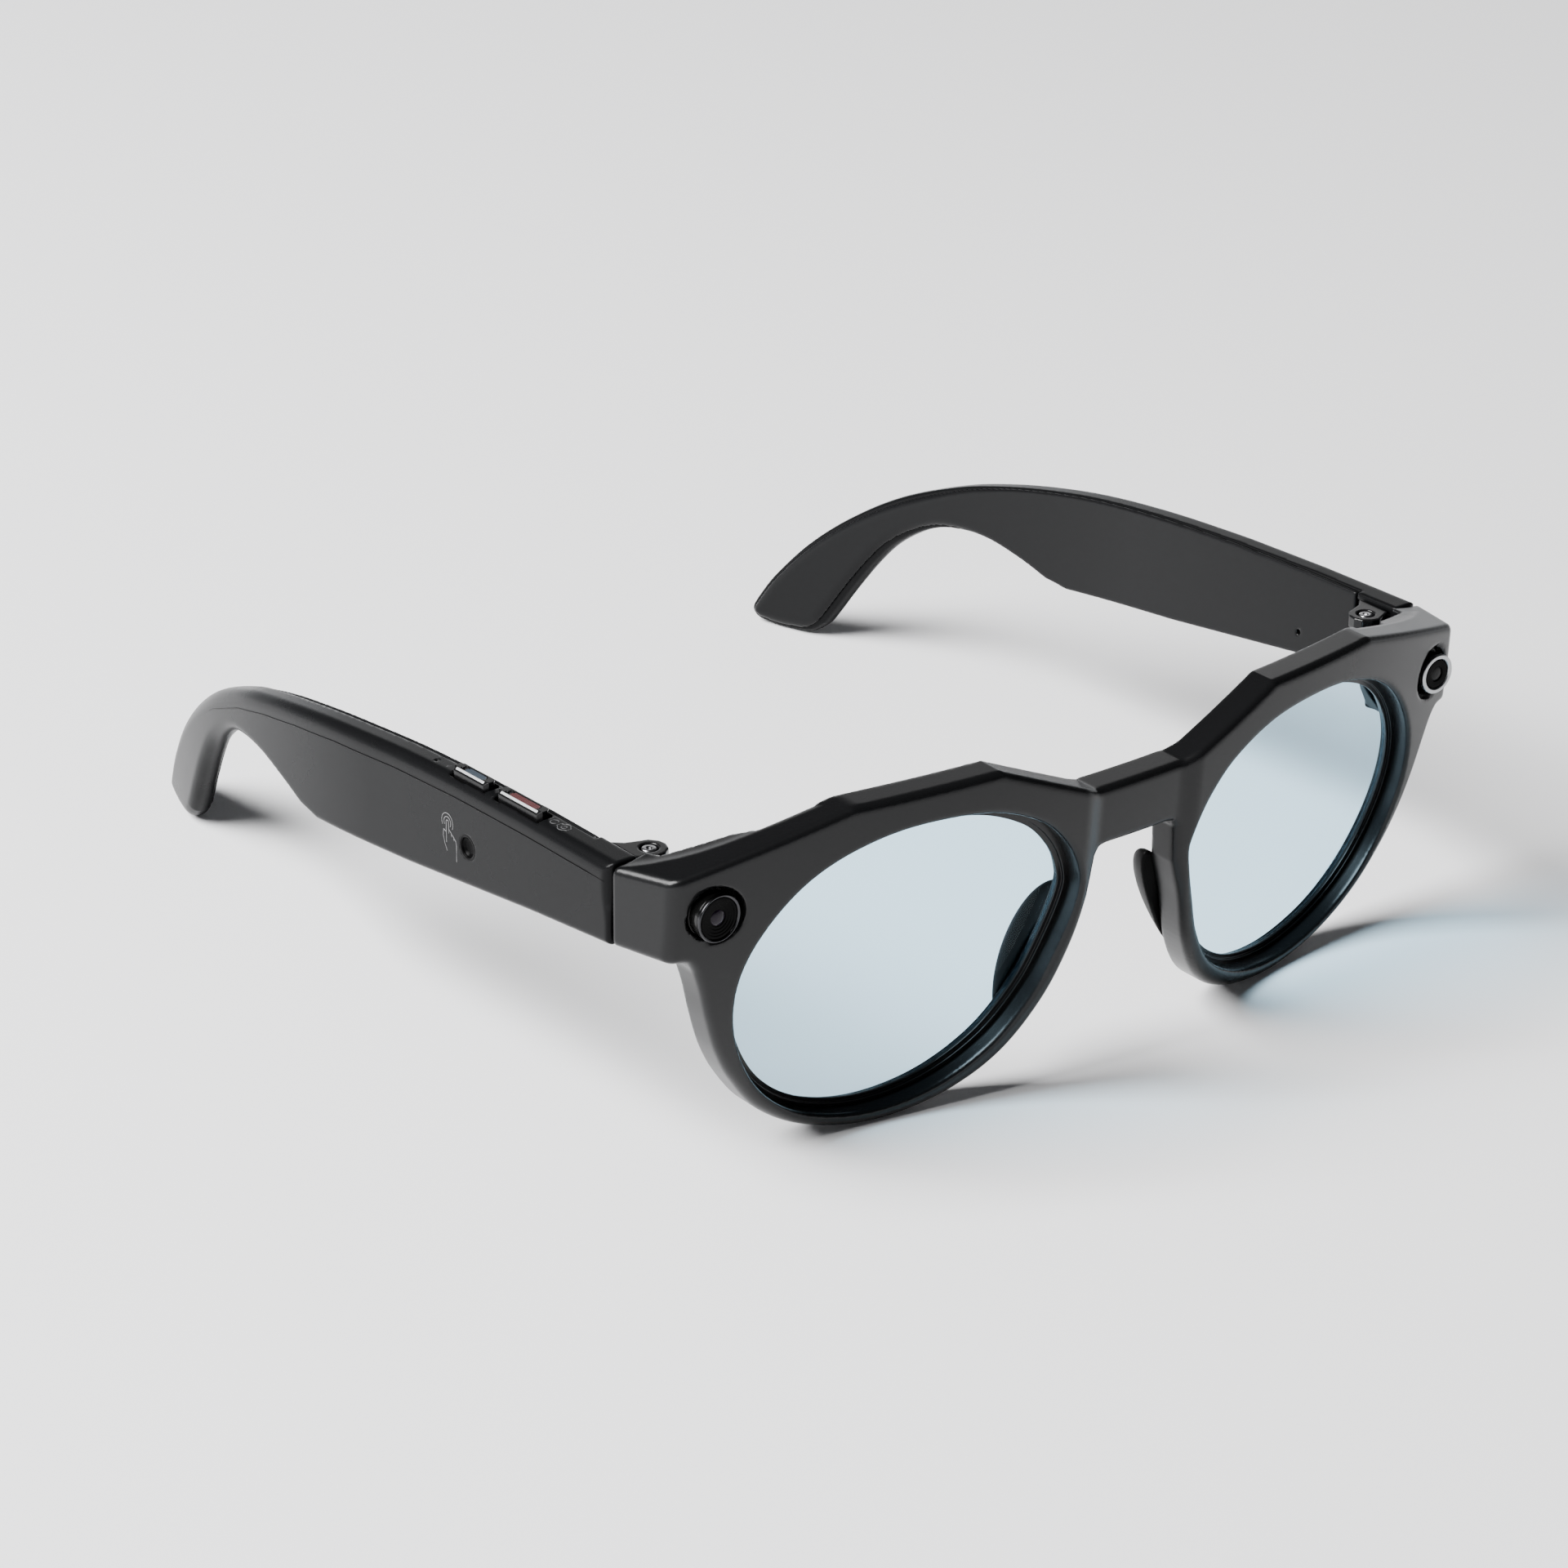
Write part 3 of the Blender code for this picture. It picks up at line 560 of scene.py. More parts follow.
def bay_loop(points):
    """Points given as (along, out) from the bay's back, as (x, y)."""
    direction = (Vector(BAY_B) - Vector(BAY_A)).normalized()
    outward = Vector((-direction.y, direction.x))
    return [tuple(Vector(BAY_A) + direction * along + outward * out) for along, out in points]


OUTLINE = BROW + END_UNDER + curve_through(RIM, 9) + BRIDGE_UNDER
OPENING_LOOP = curve_through(OPENING, 9, closed=True)
BLOCK_PLAN = [
    (59.0, -12.0), (86.0, -12.0), (86.0, BUTT_Y), (70.5, BUTT_Y), BAY_B, BAY_A, (59.0, 1.5),
]
BAY_PLAN = [(62.2, -0.4), (68.7, 0.5)] + bay_loop([(8.7, 0.0), (8.7, 2.0), (1.2, 2.0), (1.2, 0.0)])
BAY_COVER_PLAN = bay_loop([(0.6, 0.3), (9.4, 0.3), (9.4, 1.6), (0.6, 1.6)])
LIP_PLAN = bay_loop([
    (-6.8, 0.0), (-6.6, 0.8), (-3.5, 1.3), (1.4, 1.6), (1.4, -1.2), (-1.0, -1.4), (-3.9, -0.4),
])
SCOOP_PLAN = SCOOP + [(50.0, 30.0), (84.0, 30.0)]
BROW_FALL = BROW_CORNER[1] / (HALF_WIDTH - BROW_CORNER[0])


def scooped(x, y, z):
    """Above the end piece's top, which dips towards the hinge behind a curved edge."""
    behind = np.maximum(-polygon(x, y, SCOOP_PLAN), 0)
    dip = SCOOP_DEPTH * (1 - np.exp(-behind / SCOOP_REACH))
    return z - BROW_FALL * (HALF_WIDTH - x) + dip


def front_field(x, y, z):
    x = np.abs(x)
    lean = face_lean(x, z)
    depth = y - front_y(x, z)
    side = (x - HALF_WIDTH) * math.cos(SIDE_SLOPE) - y * math.sin(SIDE_SLOPE)
    shape = both(polygon(x, z, OUTLINE), -depth * lean, 1.15)
    shape = both(shape, side, 1.3)
    end = np.maximum(polygon(x, y, BLOCK_PLAN), END_BOTTOM_Z - z)
    shape = both(shape, either((depth - PLATE) * lean, end, 0.5), 0.45)
    shape = both(shape, scooped(x, y, z), 0.3)
    rounding = np.where(depth < 2.5, 0.75, 0.35)
    shape = without(shape, polygon(x, z, OPENING_LOOP), rounding)
    around = np.hypot(x - MODULE_X, z - MODULE_Z)
    shape = without(shape, np.maximum(around - POCKET_R, y - POCKET_Y), 0.3)
    shape = without(shape, np.maximum(around - BORE_R, y - BORE_Y), 0.2)
    bay = np.maximum(polygon(x, y, BAY_PLAN), between(z, BAY_Z))
    return without(shape, bay, 0.1)


def lens_seat():
    """The ledge, lip and seat that step in from an opening's wall."""
    profile = [
        (-0.5, WALL_DEPTH), (LEDGE_INSET, WALL_DEPTH), (LEDGE_INSET, LEDGE_DEPTH),
        (LIP_INSET, LEDGE_DEPTH), (LIP_INSET, SEAT_DEPTH), (SEAT_INSET, SEAT_DEPTH),
        (SEAT_INSET, PLATE - 0.05), (-0.5, PLATE - 0.05),
    ]
    rows = eased(profile, 0.09, closed=True)
    points = [
        (x, front_y(x, z) + depth, z)
        for amount, depth in rows for x, z in inset(OPENING_LOOP, amount)
    ]
    return (points, *ring_faces(len(rows), len(OPENING_LOOP), closed=True))


def lens_sheet():
    """A lens as rings from its middle to its edge, on both faces."""
    rim = np.array(inset(OPENING_LOOP, LENS_INSET))
    middle = rim.mean(0)
    rounding = [(1.0, 0.0), (0.998, 0.08), (0.99, 0.2)]
    shares = [0.02] + [i / 24 for i in range(1, 24)] + [0.975, 0.985]
    rows = [(s, LENS_FRONT) for s in shares] + [(s, LENS_FRONT + t) for s, t in reversed(rounding)]
    rows += [(s, LENS_BACK - t) for s, t in rounding] + [(s, LENS_BACK) for s in reversed(shares)]
    points = [
        (x, front_y(x, z) + depth, z)
        for share, depth in rows for x, z in middle + (rim - middle) * share
    ]
    return (points, *ring_faces(len(rows), len(rim)))


def nose_pad_field(x, y, z):
    """An ellipsoid that was turned about y, then about z, and is cut off behind the rim."""
    about_y, about_z = (math.radians(turn) for turn in PAD_TURNS)
    back = (Matrix.Rotation(about_z, 3, "Z") @ Matrix.Rotation(about_y, 3, "Y")).inverted()
    offset = (x - PAD_MIDDLE[0], y - PAD_MIDDLE[1], z - PAD_MIDDLE[2])
    p = [sum(back[i][j] * offset[j] for j in range(3)) for i in range(3)]
    near = np.sqrt(sum((a / s) ** 2 for a, s in zip(p, PAD_SIZE)))
    far = np.sqrt(sum((a / s**2) ** 2 for a, s in zip(p, PAD_SIZE)))
    pad = near * (near - 1) / np.maximum(far, 1e-3)
    depth = y - front_y(x, z)
    return both(pad, (PLATE + 0.08 - depth) * face_lean(x, z), 0.25)


def bay_cover_field(x, y, z):
    height = between(z, BAY_COVER_Z)
    cover = both(polygon(x, y, BAY_COVER_PLAN), height, 0.55)
    lip = both(polygon(x, y, LIP_PLAN), height, 0.4)
    lip = both(lip, (LIP_END - z - LIP_SLOPE * x) / LIP_SCALE, 0.4)
    cover = either(cover, lip, 0.4)
    slot = np.maximum(between(x, LEAF_ROOM_X), between(z, KNUCKLE_ROOM_Z))
    return without(np.maximum(cover, scooped(x, y, z) + COVER_PLAY), slot, 0.1)


# Hinge: a knuckle on the front, and ears and a screw on the temple

EAR_PLAN = [
    (74.9, 18.6), (71.8, 18.6), (70.7, 17.5), (69.6, 16.5), (67.9, 15.9), (66.4, 15.4),
    (65.4, 14.2), (65.2, 12.9), (65.7, 11.6), (66.9, 10.7), (68.2, 10.5), (71.5, 11.9),
    (74.9, 11.9),
]
SCREW = [  # as (radius, z)
    (0.02, -11.0), (0.7, -11.0), (0.8, -10.9), (0.8, -2.3), (0.85, -2.2), (1.03, -1.98),
    (1.06, -1.9), (1.06, -1.5), (1.02, -1.4), (0.94, -1.35), (0.66, -1.35),
]
SOCKET = [(0.5, -1.35), (0.47, -1.39), (0.47, -1.88), (0.44, -1.92), (0.02, -1.92)]
SCREW_SIDES = 60


def around_pivot(x, y):
    return np.hypot(x - PIVOT[0], y - PIVOT[1])


def knuckle_field(x, y, z):
    tube = post(x, y, z, PIVOT, KNUCKLE_R, KNUCKLE_Z, 0.3)
    low, high = zip(LEAF_X, (LEAF_FRONT_Y, PIVOT[1]), KNUCKLE_Z)
    leaf = block((x, y, z), low, high, 0.3)
    return without(either(tube, leaf, 0.3), around_pivot(x, y) - SCREW_BORE_R, 0.1)


def bracket_field(x, y, z):
    ears = both(polygon(x, y, EAR_PLAN), between(z, EAR_Z), 0.22)
    ears = without(ears, np.maximum(x - EAR_GAP_X, between(z, KNUCKLE_ROOM_Z)), 0.2)
    ears = without(ears, np.maximum(SHOULDER_X - x, SHOULDER_Z - z), 0.15)
    around = around_pivot(x, y)
    ears = without(ears, np.maximum(around - HEAD_ROOM_R, HEAD_ROOM_Z - z), 0.12)
    return without(ears, around - SCREW_BORE_R, 0.1)


def hinge_screw():
    """A round-headed screw with a hexagonal socket, on the hinge's axis."""
    points = []
    rows = [(radius, z, False) for radius, z in SCREW] + [(radius, z, True) for radius, z in SOCKET]
    for radius, z, hexagonal in rows:
        for i in range(SCREW_SIDES):
            angle = 2 * math.pi * i / SCREW_SIDES
            if hexagonal:
                reach = radius / math.cos((angle + math.pi / 6) % (math.pi / 3) - math.pi / 6)
            else:
                reach = radius
            x = PIVOT[0] + reach * math.cos(angle)
            points.append((x, PIVOT[1] + reach * math.sin(angle), z))
    return (points, *ring_faces(len(rows), SCREW_SIDES))


# Temples

TEMPLE_LOOP = (
    TEMPLE_TOP[:2] + curve_through(TEMPLE_TOP[2:], 8)[:-1] + curve_through(TEMPLE_TIP, 6)[:-1]
    + curve_through(TEMPLE_UNDER, 8) + TEMPLE_LOWER
)
MIDDLE_Y = [10.0, 60.0, 90.0, 110.0, 124.0, 134.0, 142.0, 154.0]
MIDDLE_Z = [-6.8, -11.0, -14.5, -15.6, -21.5, -30.5, -38.5, -46.5]


def top_z(y):
    """The height of the temple's top edge."""
    return np.interp(y, *zip(*TEMPLE_TOP))


def temple_body(x, y, z):
    """The whole temple before its bend: thick, with its outer top edge the roundest."""
    outline = polygon(y, z, TEMPLE_LOOP)
    above = smooth_step(-3.0, 3.0, z - np.interp(y, MIDDLE_Y, MIDDLE_Z))
    rear = smooth_step(92.0, 128.0, y)
    outer = 0.9 + 0.9 * above + (1.5 - 0.9 * above) * rear
    inner = 0.5 + 1.9 * rear
    return both(both(outline, x - TEMPLE_OUT, outer), TEMPLE_IN - x, inner)


def shell_field(x, y, z):
    whole = both(temple_body(x, y, z), TEMPLE_FRONT - y, 0.3)
    cover_room = np.maximum(x - SHELL_IN, COVER_SEAT_Y - y)
    shell = without(whole, cover_room, 0.28)
    walls = np.maximum(polygon(y, z, TEMPLE_LOOP) + SHELL_WALL, x - HOLLOW_OUT)
    return without(shell, np.maximum(walls, between(y, HOLLOW_Y)), 0.1)


def right_shell_field(x, y, z):
    shell = shell_field(x, y, z)
    for span in BUTTON_SPANS.values():
        low = (BUTTON_X[0] - SLOT_GAP, span[0] - SLOT_GAP, SLOT_Z[0])
        high = (BUTTON_X[1] + SLOT_GAP, span[1] + SLOT_GAP, SLOT_Z[1])
        shell = without(shell, block((x, y, z), low, high, 0.35), 0.12)
    dimple = post(y, z, x, DIMPLE, DIMPLE_R, (TEMPLE_OUT - 0.9, TEMPLE_OUT + 2), 0.1)
    shell = without(shell, dimple, 0.1)
    return without(shell, post(x, y, z, TOP_HOLE, 0.32, (-4.0, 1.0), 0.02), 0.05)


def cover_field(x, y, z):
    cover = both(temple_body(x, y, z) + COVER_PLAY, x - COVER_OUT, 0.28)
    cover = both(cover, COVER_FRONT - y, 0.3)
    return without(cover, post(y, z, x, MIC_HOLE, 0.42, THROUGH_COVER, 0.02), 0.06)


def right_cover_field(x, y, z):
    cover = cover_field(x, y, z)
    for hole in CONTACT_HOLES:
        cover = without(cover, post(y, z, x, hole, 0.95, THROUGH_COVER, 0.02), 0.08)
    return cover


def bend(points):
    along = np.maximum(points[:, 1] - BEND_START, 0) / BEND_LENGTH
    return points - np.outer(BEND_IN * along**2, (1, 0, 0))


# Putting the pieces in place

COARSE, MEDIUM, FINE, TINY = ((0.36, 0.3, 0.12, 0.06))
STRAIGHT = ([TEMPLE_IN, TEMPLE_FRONT, -48.2], [TEMPLE_OUT, 156.0, 0.2])


def node_box(node, mirror=False):
    """A CAD node's corners in the design frame, as lists of millimetres."""
    low, high = ([c / MM for c in corner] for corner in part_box(node))
    low, high = ([c[0], c[1] - DESIGN_Y, c[2] - DESIGN_Z] for c in (low, high))
    return ([-high[0], *low[1:]], [-low[0], *high[1:]]) if mirror else (low, high)


def stand_in(node, field, step, body, slot, margin, mirror=False):
    """A field's surface in a CAD node's place."""
    low, high = node_box(node, mirror)
    low = [c - margin for c in low]
    high = [c + margin for c in high]
    made = solid(node + "_shape", field, low, high, step, body, slot, mirror=mirror)
    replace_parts(made, node)


stand_in("front_frame", front_field, COARSE, "front", "frame", 0.6)
for side, mirror in SIDES:
    points, faces, caps = lens_sheet()
    points = across(points, mirror)
    made = piece(f"{side}_lens_shape", points, faces, "front", "lens", caps, reverse=mirror)
    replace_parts(made, f"{side}_lens")
    points, faces, caps = lens_seat()
    points = across(points, mirror)
    made = piece(f"{side}_lens_seat", points, faces, "front", "frame", caps, reverse=mirror)
    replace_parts(made, "front_frame")
    for node, field, step, body, slot, margin in (
        ("nose_pad", nose_pad_field, MEDIUM, "front", "nose_pad", 4.5),
        ("bay_cover", bay_cover_field, FINE * 1.6, "front", "bay_cover", 6.6),
        ("frame_knuckle", knuckle_field, FINE * 1.6, "front", "hinge_metal", 0.2),
        ("hinge_bracket", bracket_field, FINE * 1.6, side + "_temple", "hinge_metal", 0.3),
    ):
        stand_in(f"{side}_{node}", field, step, body, slot, margin, mirror)
    points, faces, caps = hinge_screw()
    made = piece(
        f"{side}_hinge_screw_shape", across(points, mirror), faces, side + "_temple", "hinge_screw",
        caps, reverse=mirror,
    )
    made.data.set_sharp_from_angle(angle=math.radians(40))
    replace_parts(made, side + "_hinge_screw")

for side, mirror, shell, cover in (
    (*SIDES[0], shell_field, cover_field), (*SIDES[1], right_shell_field, right_cover_field)
):
    for node, field, slot in (
        ("temple_shell", shell, "temple_shell"), ("temple_inner_cover", cover, "temple_cover")
    ):
        node = f"{side}_{node}"
        made = solid(
            node + "_shape", field, *STRAIGHT, COARSE, side + "_temple", slot, bend, mirror,
        )
        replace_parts(made, node)


# Camera and light modules, turned about the way they look

TURNED_SIDES = 96


def lathe(profile, sides, closed=False):
    """Rings round an axis from (radius, along) rows, with the faces between them and caps."""
    rings = []
    for radius, along in profile:
        for i in range(sides):
            angle = 2 * math.pi * i / sides
            rings.append((radius * math.cos(angle), radius * math.sin(angle), along))
    return (rings, *ring_faces(len(profile), sides, closed))


def turned(name, profile, slot, right, ease, closed=False, material=None):
    """A piece turned about a module's axis, from (radius, y) points that run front to back."""
    rings, faces, caps = lathe(eased(profile, ease, closed), TURNED_SIDES, closed)
    middle = -MODULE_X if right else MODULE_X
    points = [(middle + u, along, MODULE_Z + v) for u, v, along in rings]
    return piece(name, points, faces, "front", slot, caps, reverse=True, material=material)


def barrel(name, radius, right):
    """A glossy black tube with a stepped nose, whose bore opens to the front."""
    profile = [
        (radius - 0.75, MODULE_Y + 0.7), (radius - 0.1, MODULE_Y + 0.7), (radius - 0.1, -0.4),
        (radius - 0.25, -0.4), (radius - 0.25, -0.1), (radius - 0.1, -0.1), (radius - 0.1, 1.0),
        (1.8, 1.0), (1.8, MODULE_Y + 0.9), (radius - 0.75, MODULE_Y + 0.9),
    ]
    return turned(name, profile, "module_body", right, 0.08, closed=True)


CAMERA_RING = [
    (3.1, MODULE_Y + 0.14), (3.3, MODULE_Y), (3.42, MODULE_Y), (CAMERA_R, MODULE_Y + 0.12),
    (CAMERA_R, -2.1), (3.1, -2.1),
]
LIGHT_RING = [
    (2.35, MODULE_Y + 0.2), (2.5, MODULE_Y), (3.0, MODULE_Y), (LIGHT_R, MODULE_Y + 0.12),
    (LIGHT_R, -2.1), (2.35, -2.1),
]
BAFFLE = [
    (0.01, -2.14), (1.3, -2.14), (1.3, -2.24), (1.7, -2.24), (1.75, -2.32), (2.15, -2.32),
    (2.2, -2.4), (2.55, -2.4), (2.6, -2.5), (2.97, -2.5), (3.05, -2.42), (3.05, -2.1), (0.01, -2.1),
]
EYE = [
    (0.01, -2.42), (0.35, -2.405), (0.65, -2.36), (0.9, -2.29), (1.1, -2.2), (1.18, -2.12),
    (0.01, -2.11),
]
WINDOW = [
    (0.01, -2.3), (1.15, -2.3), (1.2, -2.5), (2.15, -2.52), (2.22, -2.46), (2.22, -2.1),
    (0.01, -2.1),
]
CORE = [(0.01, -2.5), (0.5, -2.48), (0.85, -2.42), (1.05, -2.34), (1.1, -2.26), (0.01, -2.25)]

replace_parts(barrel("camera_barrel_shape", CAMERA_R, True), "camera_barrel")
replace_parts(barrel("light_barrel_shape", LIGHT_R, False), "light_barrel")
for name, profile, slot, right, ease, closed, material in (
    ("camera_trim_ring_shape", CAMERA_RING, "camera_ring", True, 0.06, True, None),
    ("light_ring_shape", LIGHT_RING, "light_ring", False, 0.05, True, None),
    ("camera_cover_glass_shape", BAFFLE, "camera_glass", True, 0.03, False, None),
    ("camera_eye", EYE, "camera_glass", True, 0.02, False, LENS_EYE),
    ("light_window_shape", WINDOW, "camera_glass", False, 0.04, False, None),
    ("light_window_core", CORE, "light_window", False, 0.02, False, None),
):
    made = turned(name, profile, slot, right, ease, closed, material)
    if name.endswith("_shape"):
        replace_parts(made, name.removesuffix("_shape"))


# Buttons: a bevelled body with a bright strip along its bevel, and ribs and a dot in its tray


def under_top(y, z, span):
    """Height above the button's top face, which falls to the rear."""
    return z - (top_z(span[0]) + BUTTON_PROUD - BUTTON_FALL * (y - span[0]))


def button_plan(x, y, span, shrink=0.0):
    low, high = span
    inner, outer, cut = *BUTTON_X, 0.6
    loop = [
        (inner + cut, low), (outer - cut, low), (outer, low + cut), (outer, high - cut),
        (outer - cut, high), (inner + cut, high), (inner, high - cut), (inner, low + cut),
    ]
    return polygon(x, y, loop) + shrink


def past_bevel(x, height):
    return (x - BUTTON_X[1] + height + BUTTON_BEVEL) * DIAGONAL


def button_body_field(x, y, z, span):
    height = under_top(y, z, span)
    body = both(button_plan(x, y, span), np.maximum(height, BUTTON_BOTTOM - z), 0.1)
    body = both(body, past_bevel(x, height), 0.04)
    tray = both(button_plan(x, y, (span[0] + 1.0, span[1] - 1.0), 0.36), -0.16 - height, 0.02)
    return without(body, tray, 0.04)


def button_strip_field(x, y, z, span):
    height = under_top(y, z, span)
    along = (x - BUTTON_X[1] - height) * DIAGONAL
    strip = both(np.abs(past_bevel(x, height) - 0.01) - 0.05, np.abs(along + 0.1) - 0.19, 0.03)
    return both(strip, between(y, (span[0] + 0.85, span[1] - 0.85)), 0.03)


def button_ribs_field(x, y, z, span):
    height = under_top(y, z, span)
    tray = button_plan(x, y, (span[0] + 1.1, span[1] - 2.0), 0.46)
    ribs = height + 0.03 + 0.08 * np.cos((x - 74.4) * 2 * math.pi / 0.3)
    return both(both(tray, ribs * 0.6, 0.03), -0.3 - height, 0.02)


def button_dot_field(x, y, z, span):
    around = np.hypot(x - 74.35, y - span[1] + 1.5)
    return both(around - 0.24, np.abs(under_top(y, z, span) + 0.1) - 0.12, 0.05)


for node, span in BUTTON_SPANS.items():
    for part, part_field, material, low_z in (
        ("shape", button_body_field, BUTTON_BODY, BUTTON_BOTTOM),
        ("strip", button_strip_field, BUTTON_STEEL, -1.6),
        ("ribs", button_ribs_field, None, -1.6),
        ("dot", button_dot_field, BUTTON_BODY, -1.6),
    ):
        made = solid(
            f"{node}_{part}", partial(part_field, span=span), [BUTTON_X[0], span[0], low_z],
            [BUTTON_X[1], span[1], 0.4], TINY, node, node, mirror=True, material=material,
        )
        if part == "shape":
            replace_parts(made, node)


# Printed signs, the dimple's bowl and fine seams on the temples

PRINT_HALF = 0.035
SIDE_STROKE = 0.11
TOP_STROKE = 0.14
SEAM_R = 0.13
SEAM_DROP = 2.75
SEAM_SIDES = 8


def strokes(u, v, lines, width):
    """Distance to the nearest of some polylines, less half a stroke."""
    nearest = 1e9
    for line in lines:
        for (au, av), (bu, bv) in zip(line, line[1:]):
            eu, ev = bu - au, bv - av
            t = np.clip(((u - au) * eu + (v - av) * ev) / max(eu * eu + ev * ev, 1e-9), 0, 1)
            nearest = np.minimum(nearest, np.hypot(u - au - eu * t, v - av - ev * t))
    return nearest - width / 2


def ring_line(middle, radius, start, end, steps=20):
    angles = [math.radians(start + (end - start) * i / steps) for i in range(steps + 1)]
    return [(middle[0] + radius * math.cos(a), middle[1] + radius * math.sin(a)) for a in angles]


FINGERTIP = (0.0, 1.2)
HAND = [
    [(-0.32, -2.0), (-0.3, 1.0)] + ring_line(FINGERTIP, 0.32, 180, 0, 8)
    + [(0.32, 1.0), (0.34, -0.4)],
    ring_line(FINGERTIP, 0.85, 215, -35),
    ring_line(FINGERTIP, 1.4, 210, -30),
    [(0.34, 0.2), (0.95, -0.25), (0.98, -0.75)],
    [(0.98, -0.35), (1.55, -0.65), (1.6, -1.1)],
    [(1.6, -0.75), (2.05, -1.1), (2.2, -1.7), (2.15, -4.2)],
    [(-0.32, -0.4), (-1.0, -0.2), (-1.1, -1.2), (-0.75, -2.3), (-0.2, -3.3)],
]
CAMERA_SIGN = [
    ring_line((0.0, 0.0), 0.42, 0, 360),
    ring_line((0.0, 0.0), 0.95, 35, 145),
    ring_line((0.0, 0.0), 0.95, 215, 325),
    [(-0.78, 0.54), (-1.15, 0.4), (-1.15, -0.4), (-0.78, -0.54)],
    [(0.78, 0.54), (1.15, 0.4), (1.15, -0.4), (0.78, -0.54)],
]
LOOP_SIGN = [ring_line((0.0, 0.0), 0.6, 20, 320)]
SOUND_SIGN = [[(-0.4, -0.5), (0.1, 0.5), (0.4, -0.2)], [(-0.5, 0.2), (-0.1, 0.2)]]


def sign(name, field, low, high, material):
    """A printed sign on the right temple."""
    solid(name, field, low, high, TINY * 0.8, "right_temple", "temple_shell", mirror=True,
          material=material)


def side_print(name, lines, middle_y, middle_z):
    """Strokes on the outer face of the right temple; forward is to the right of the sign."""
    def field(x, y, z):
        flat = strokes(middle_y - y, z - middle_z, lines, SIDE_STROKE)
        return both(flat, np.abs(x - TEMPLE_OUT) - PRINT_HALF, 0.01)

    low = [TEMPLE_OUT - 0.04, middle_y - 2.6, middle_z - 4.6]
    high = [TEMPLE_OUT + 0.04, middle_y + 2.6, middle_z + 2.8]
    sign(name, field, low, high, PRINT)


def top_print(name, lines, middle_y):
    """Strokes on the top of the right temple."""
    def field(x, y, z):
        flat = strokes(middle_y - y, x - SIGN_X, lines, TOP_STROKE)
        return both(flat, np.abs(z - top_z(y)) - PRINT_HALF, 0.01)

    middle_z = float(top_z(middle_y))
    low = [SIGN_X - 1.2, middle_y - 1.5, middle_z - 0.1]
    high = [SIGN_X + 1.2, middle_y + 1.5, middle_z + 0.1]
    sign(name, field, low, high, PRINT_FAINT)


BOWL = [  # as (radius, x)
    (0.01, TEMPLE_OUT - 0.75), (0.6, TEMPLE_OUT - 0.72), (1.1, TEMPLE_OUT - 0.58),
    (1.45, TEMPLE_OUT - 0.3), (1.55, TEMPLE_OUT - 0.04), (1.7, TEMPLE_OUT + 0.02),
    (1.94, TEMPLE_OUT + 0.02), (2.0, TEMPLE_OUT - 0.04), (2.0, TEMPLE_OUT - 0.4),
    (1.7, TEMPLE_OUT - 0.4), (1.7, TEMPLE_OUT - 0.95), (0.01, TEMPLE_OUT - 0.95),
]
rings, faces, caps = lathe(eased(BOWL, 0.05), 72)
bowl = [(-along, DIMPLE[0] + u, DIMPLE[1] + v) for u, v, along in rings]
# The dimple's bowl is coloured darker than the temple around it: painted shade in the hollow.
piece(
    "touch_dimple", bowl, faces, "right_temple", "temple_shell", caps, reverse=True,
    material=SEAM_AND_SHADE_BLACK,
)

side_print("touch_sign", HAND, 49.4, -10.2)
top_print("photo_sign", CAMERA_SIGN, 24.3)
top_print("loop_sign", LOOP_SIGN, 26.6)
top_print("volume_sign", SOUND_SIGN, 52.4)


def seam(name, path, body, mirror):
    """A thin dark line: a tube with tapered ends along (x, y, z) points on a temple's outside."""
    points = []
    for i, p in enumerate(path):
        along = (Vector(path[min(i + 1, len(path) - 1)]) - Vector(path[max(i - 1, 0)])).normalized()
        up = along.cross(Vector((1, 0, 0))).normalized()
        wide = SEAM_R * min(1.0, 0.1 + 0.3 * min(i, len(path) - 1 - i))
        for k in range(SEAM_SIDES):
            angle = 2 * math.pi * k / SEAM_SIDES
            out = Vector((math.sin(angle) * wide * 0.5, 0, 0))
            points.append(tuple(Vector(p) + up * math.cos(angle) * wide + out))
    points = across(bend(np.array(points)), mirror)
    faces, caps = ring_faces(len(path), SEAM_SIDES)
    piece(name, points, faces, body, "temple_shell", caps, reverse=mirror, material=SEAM_AND_SHADE_BLACK)


for side, mirror in SIDES:
    path = [(TEMPLE_OUT + 0.01, y, top_z(y) - SEAM_DROP) for y in np.arange(11.4, 128.0, 1.5)]
    seam(f"{side}_outer_seam", path, side + "_temple", mirror)

# Inner parts keep their CAD shapes and get their finishes
INNER = {
    "battery": "battery", "audio_board": "board", "main_board": "board", "light_board": "board",
    "sensor_module": "sensor", "speaker": "speaker", "microphone": "microphone",
    "contacts": "contacts", "switch": "switch", "touch_sensor": "flex",
}
for name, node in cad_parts.items():
    for word, slot in INNER.items():
        if name.endswith(word):
            node.data.materials.clear()
            node.data.materials.append(FINISH[slot])


# Camera, in the design frame, and floor and lights, in metres in the part's own frame

CAMERA_AZIMUTH = math.radians(-38.164)
CAMERA_ELEVATION = math.radians(25.264)
CAMERA_ROLL = math.radians(0.635)
CAMERA_DISTANCE = 701.68
CAMERA_TARGET = (0.0, 70.066, -32.464)
CAMERA_LENS = 103.125
SENSOR_WIDTH = 36.0
FLOOR_SIZE = 1.1
FLOOR_COLOR = (0.86, 0.86, 0.87, 1)
HORIZON_COLOR = (0.95, 0.97, 1.0, 1)
OVERHEAD_COLOR = (0.02, 0.02, 0.022, 1)
SKY_STRENGTH = 1.5
LIGHT_AIM = (0.0, 0.0, 0.02)


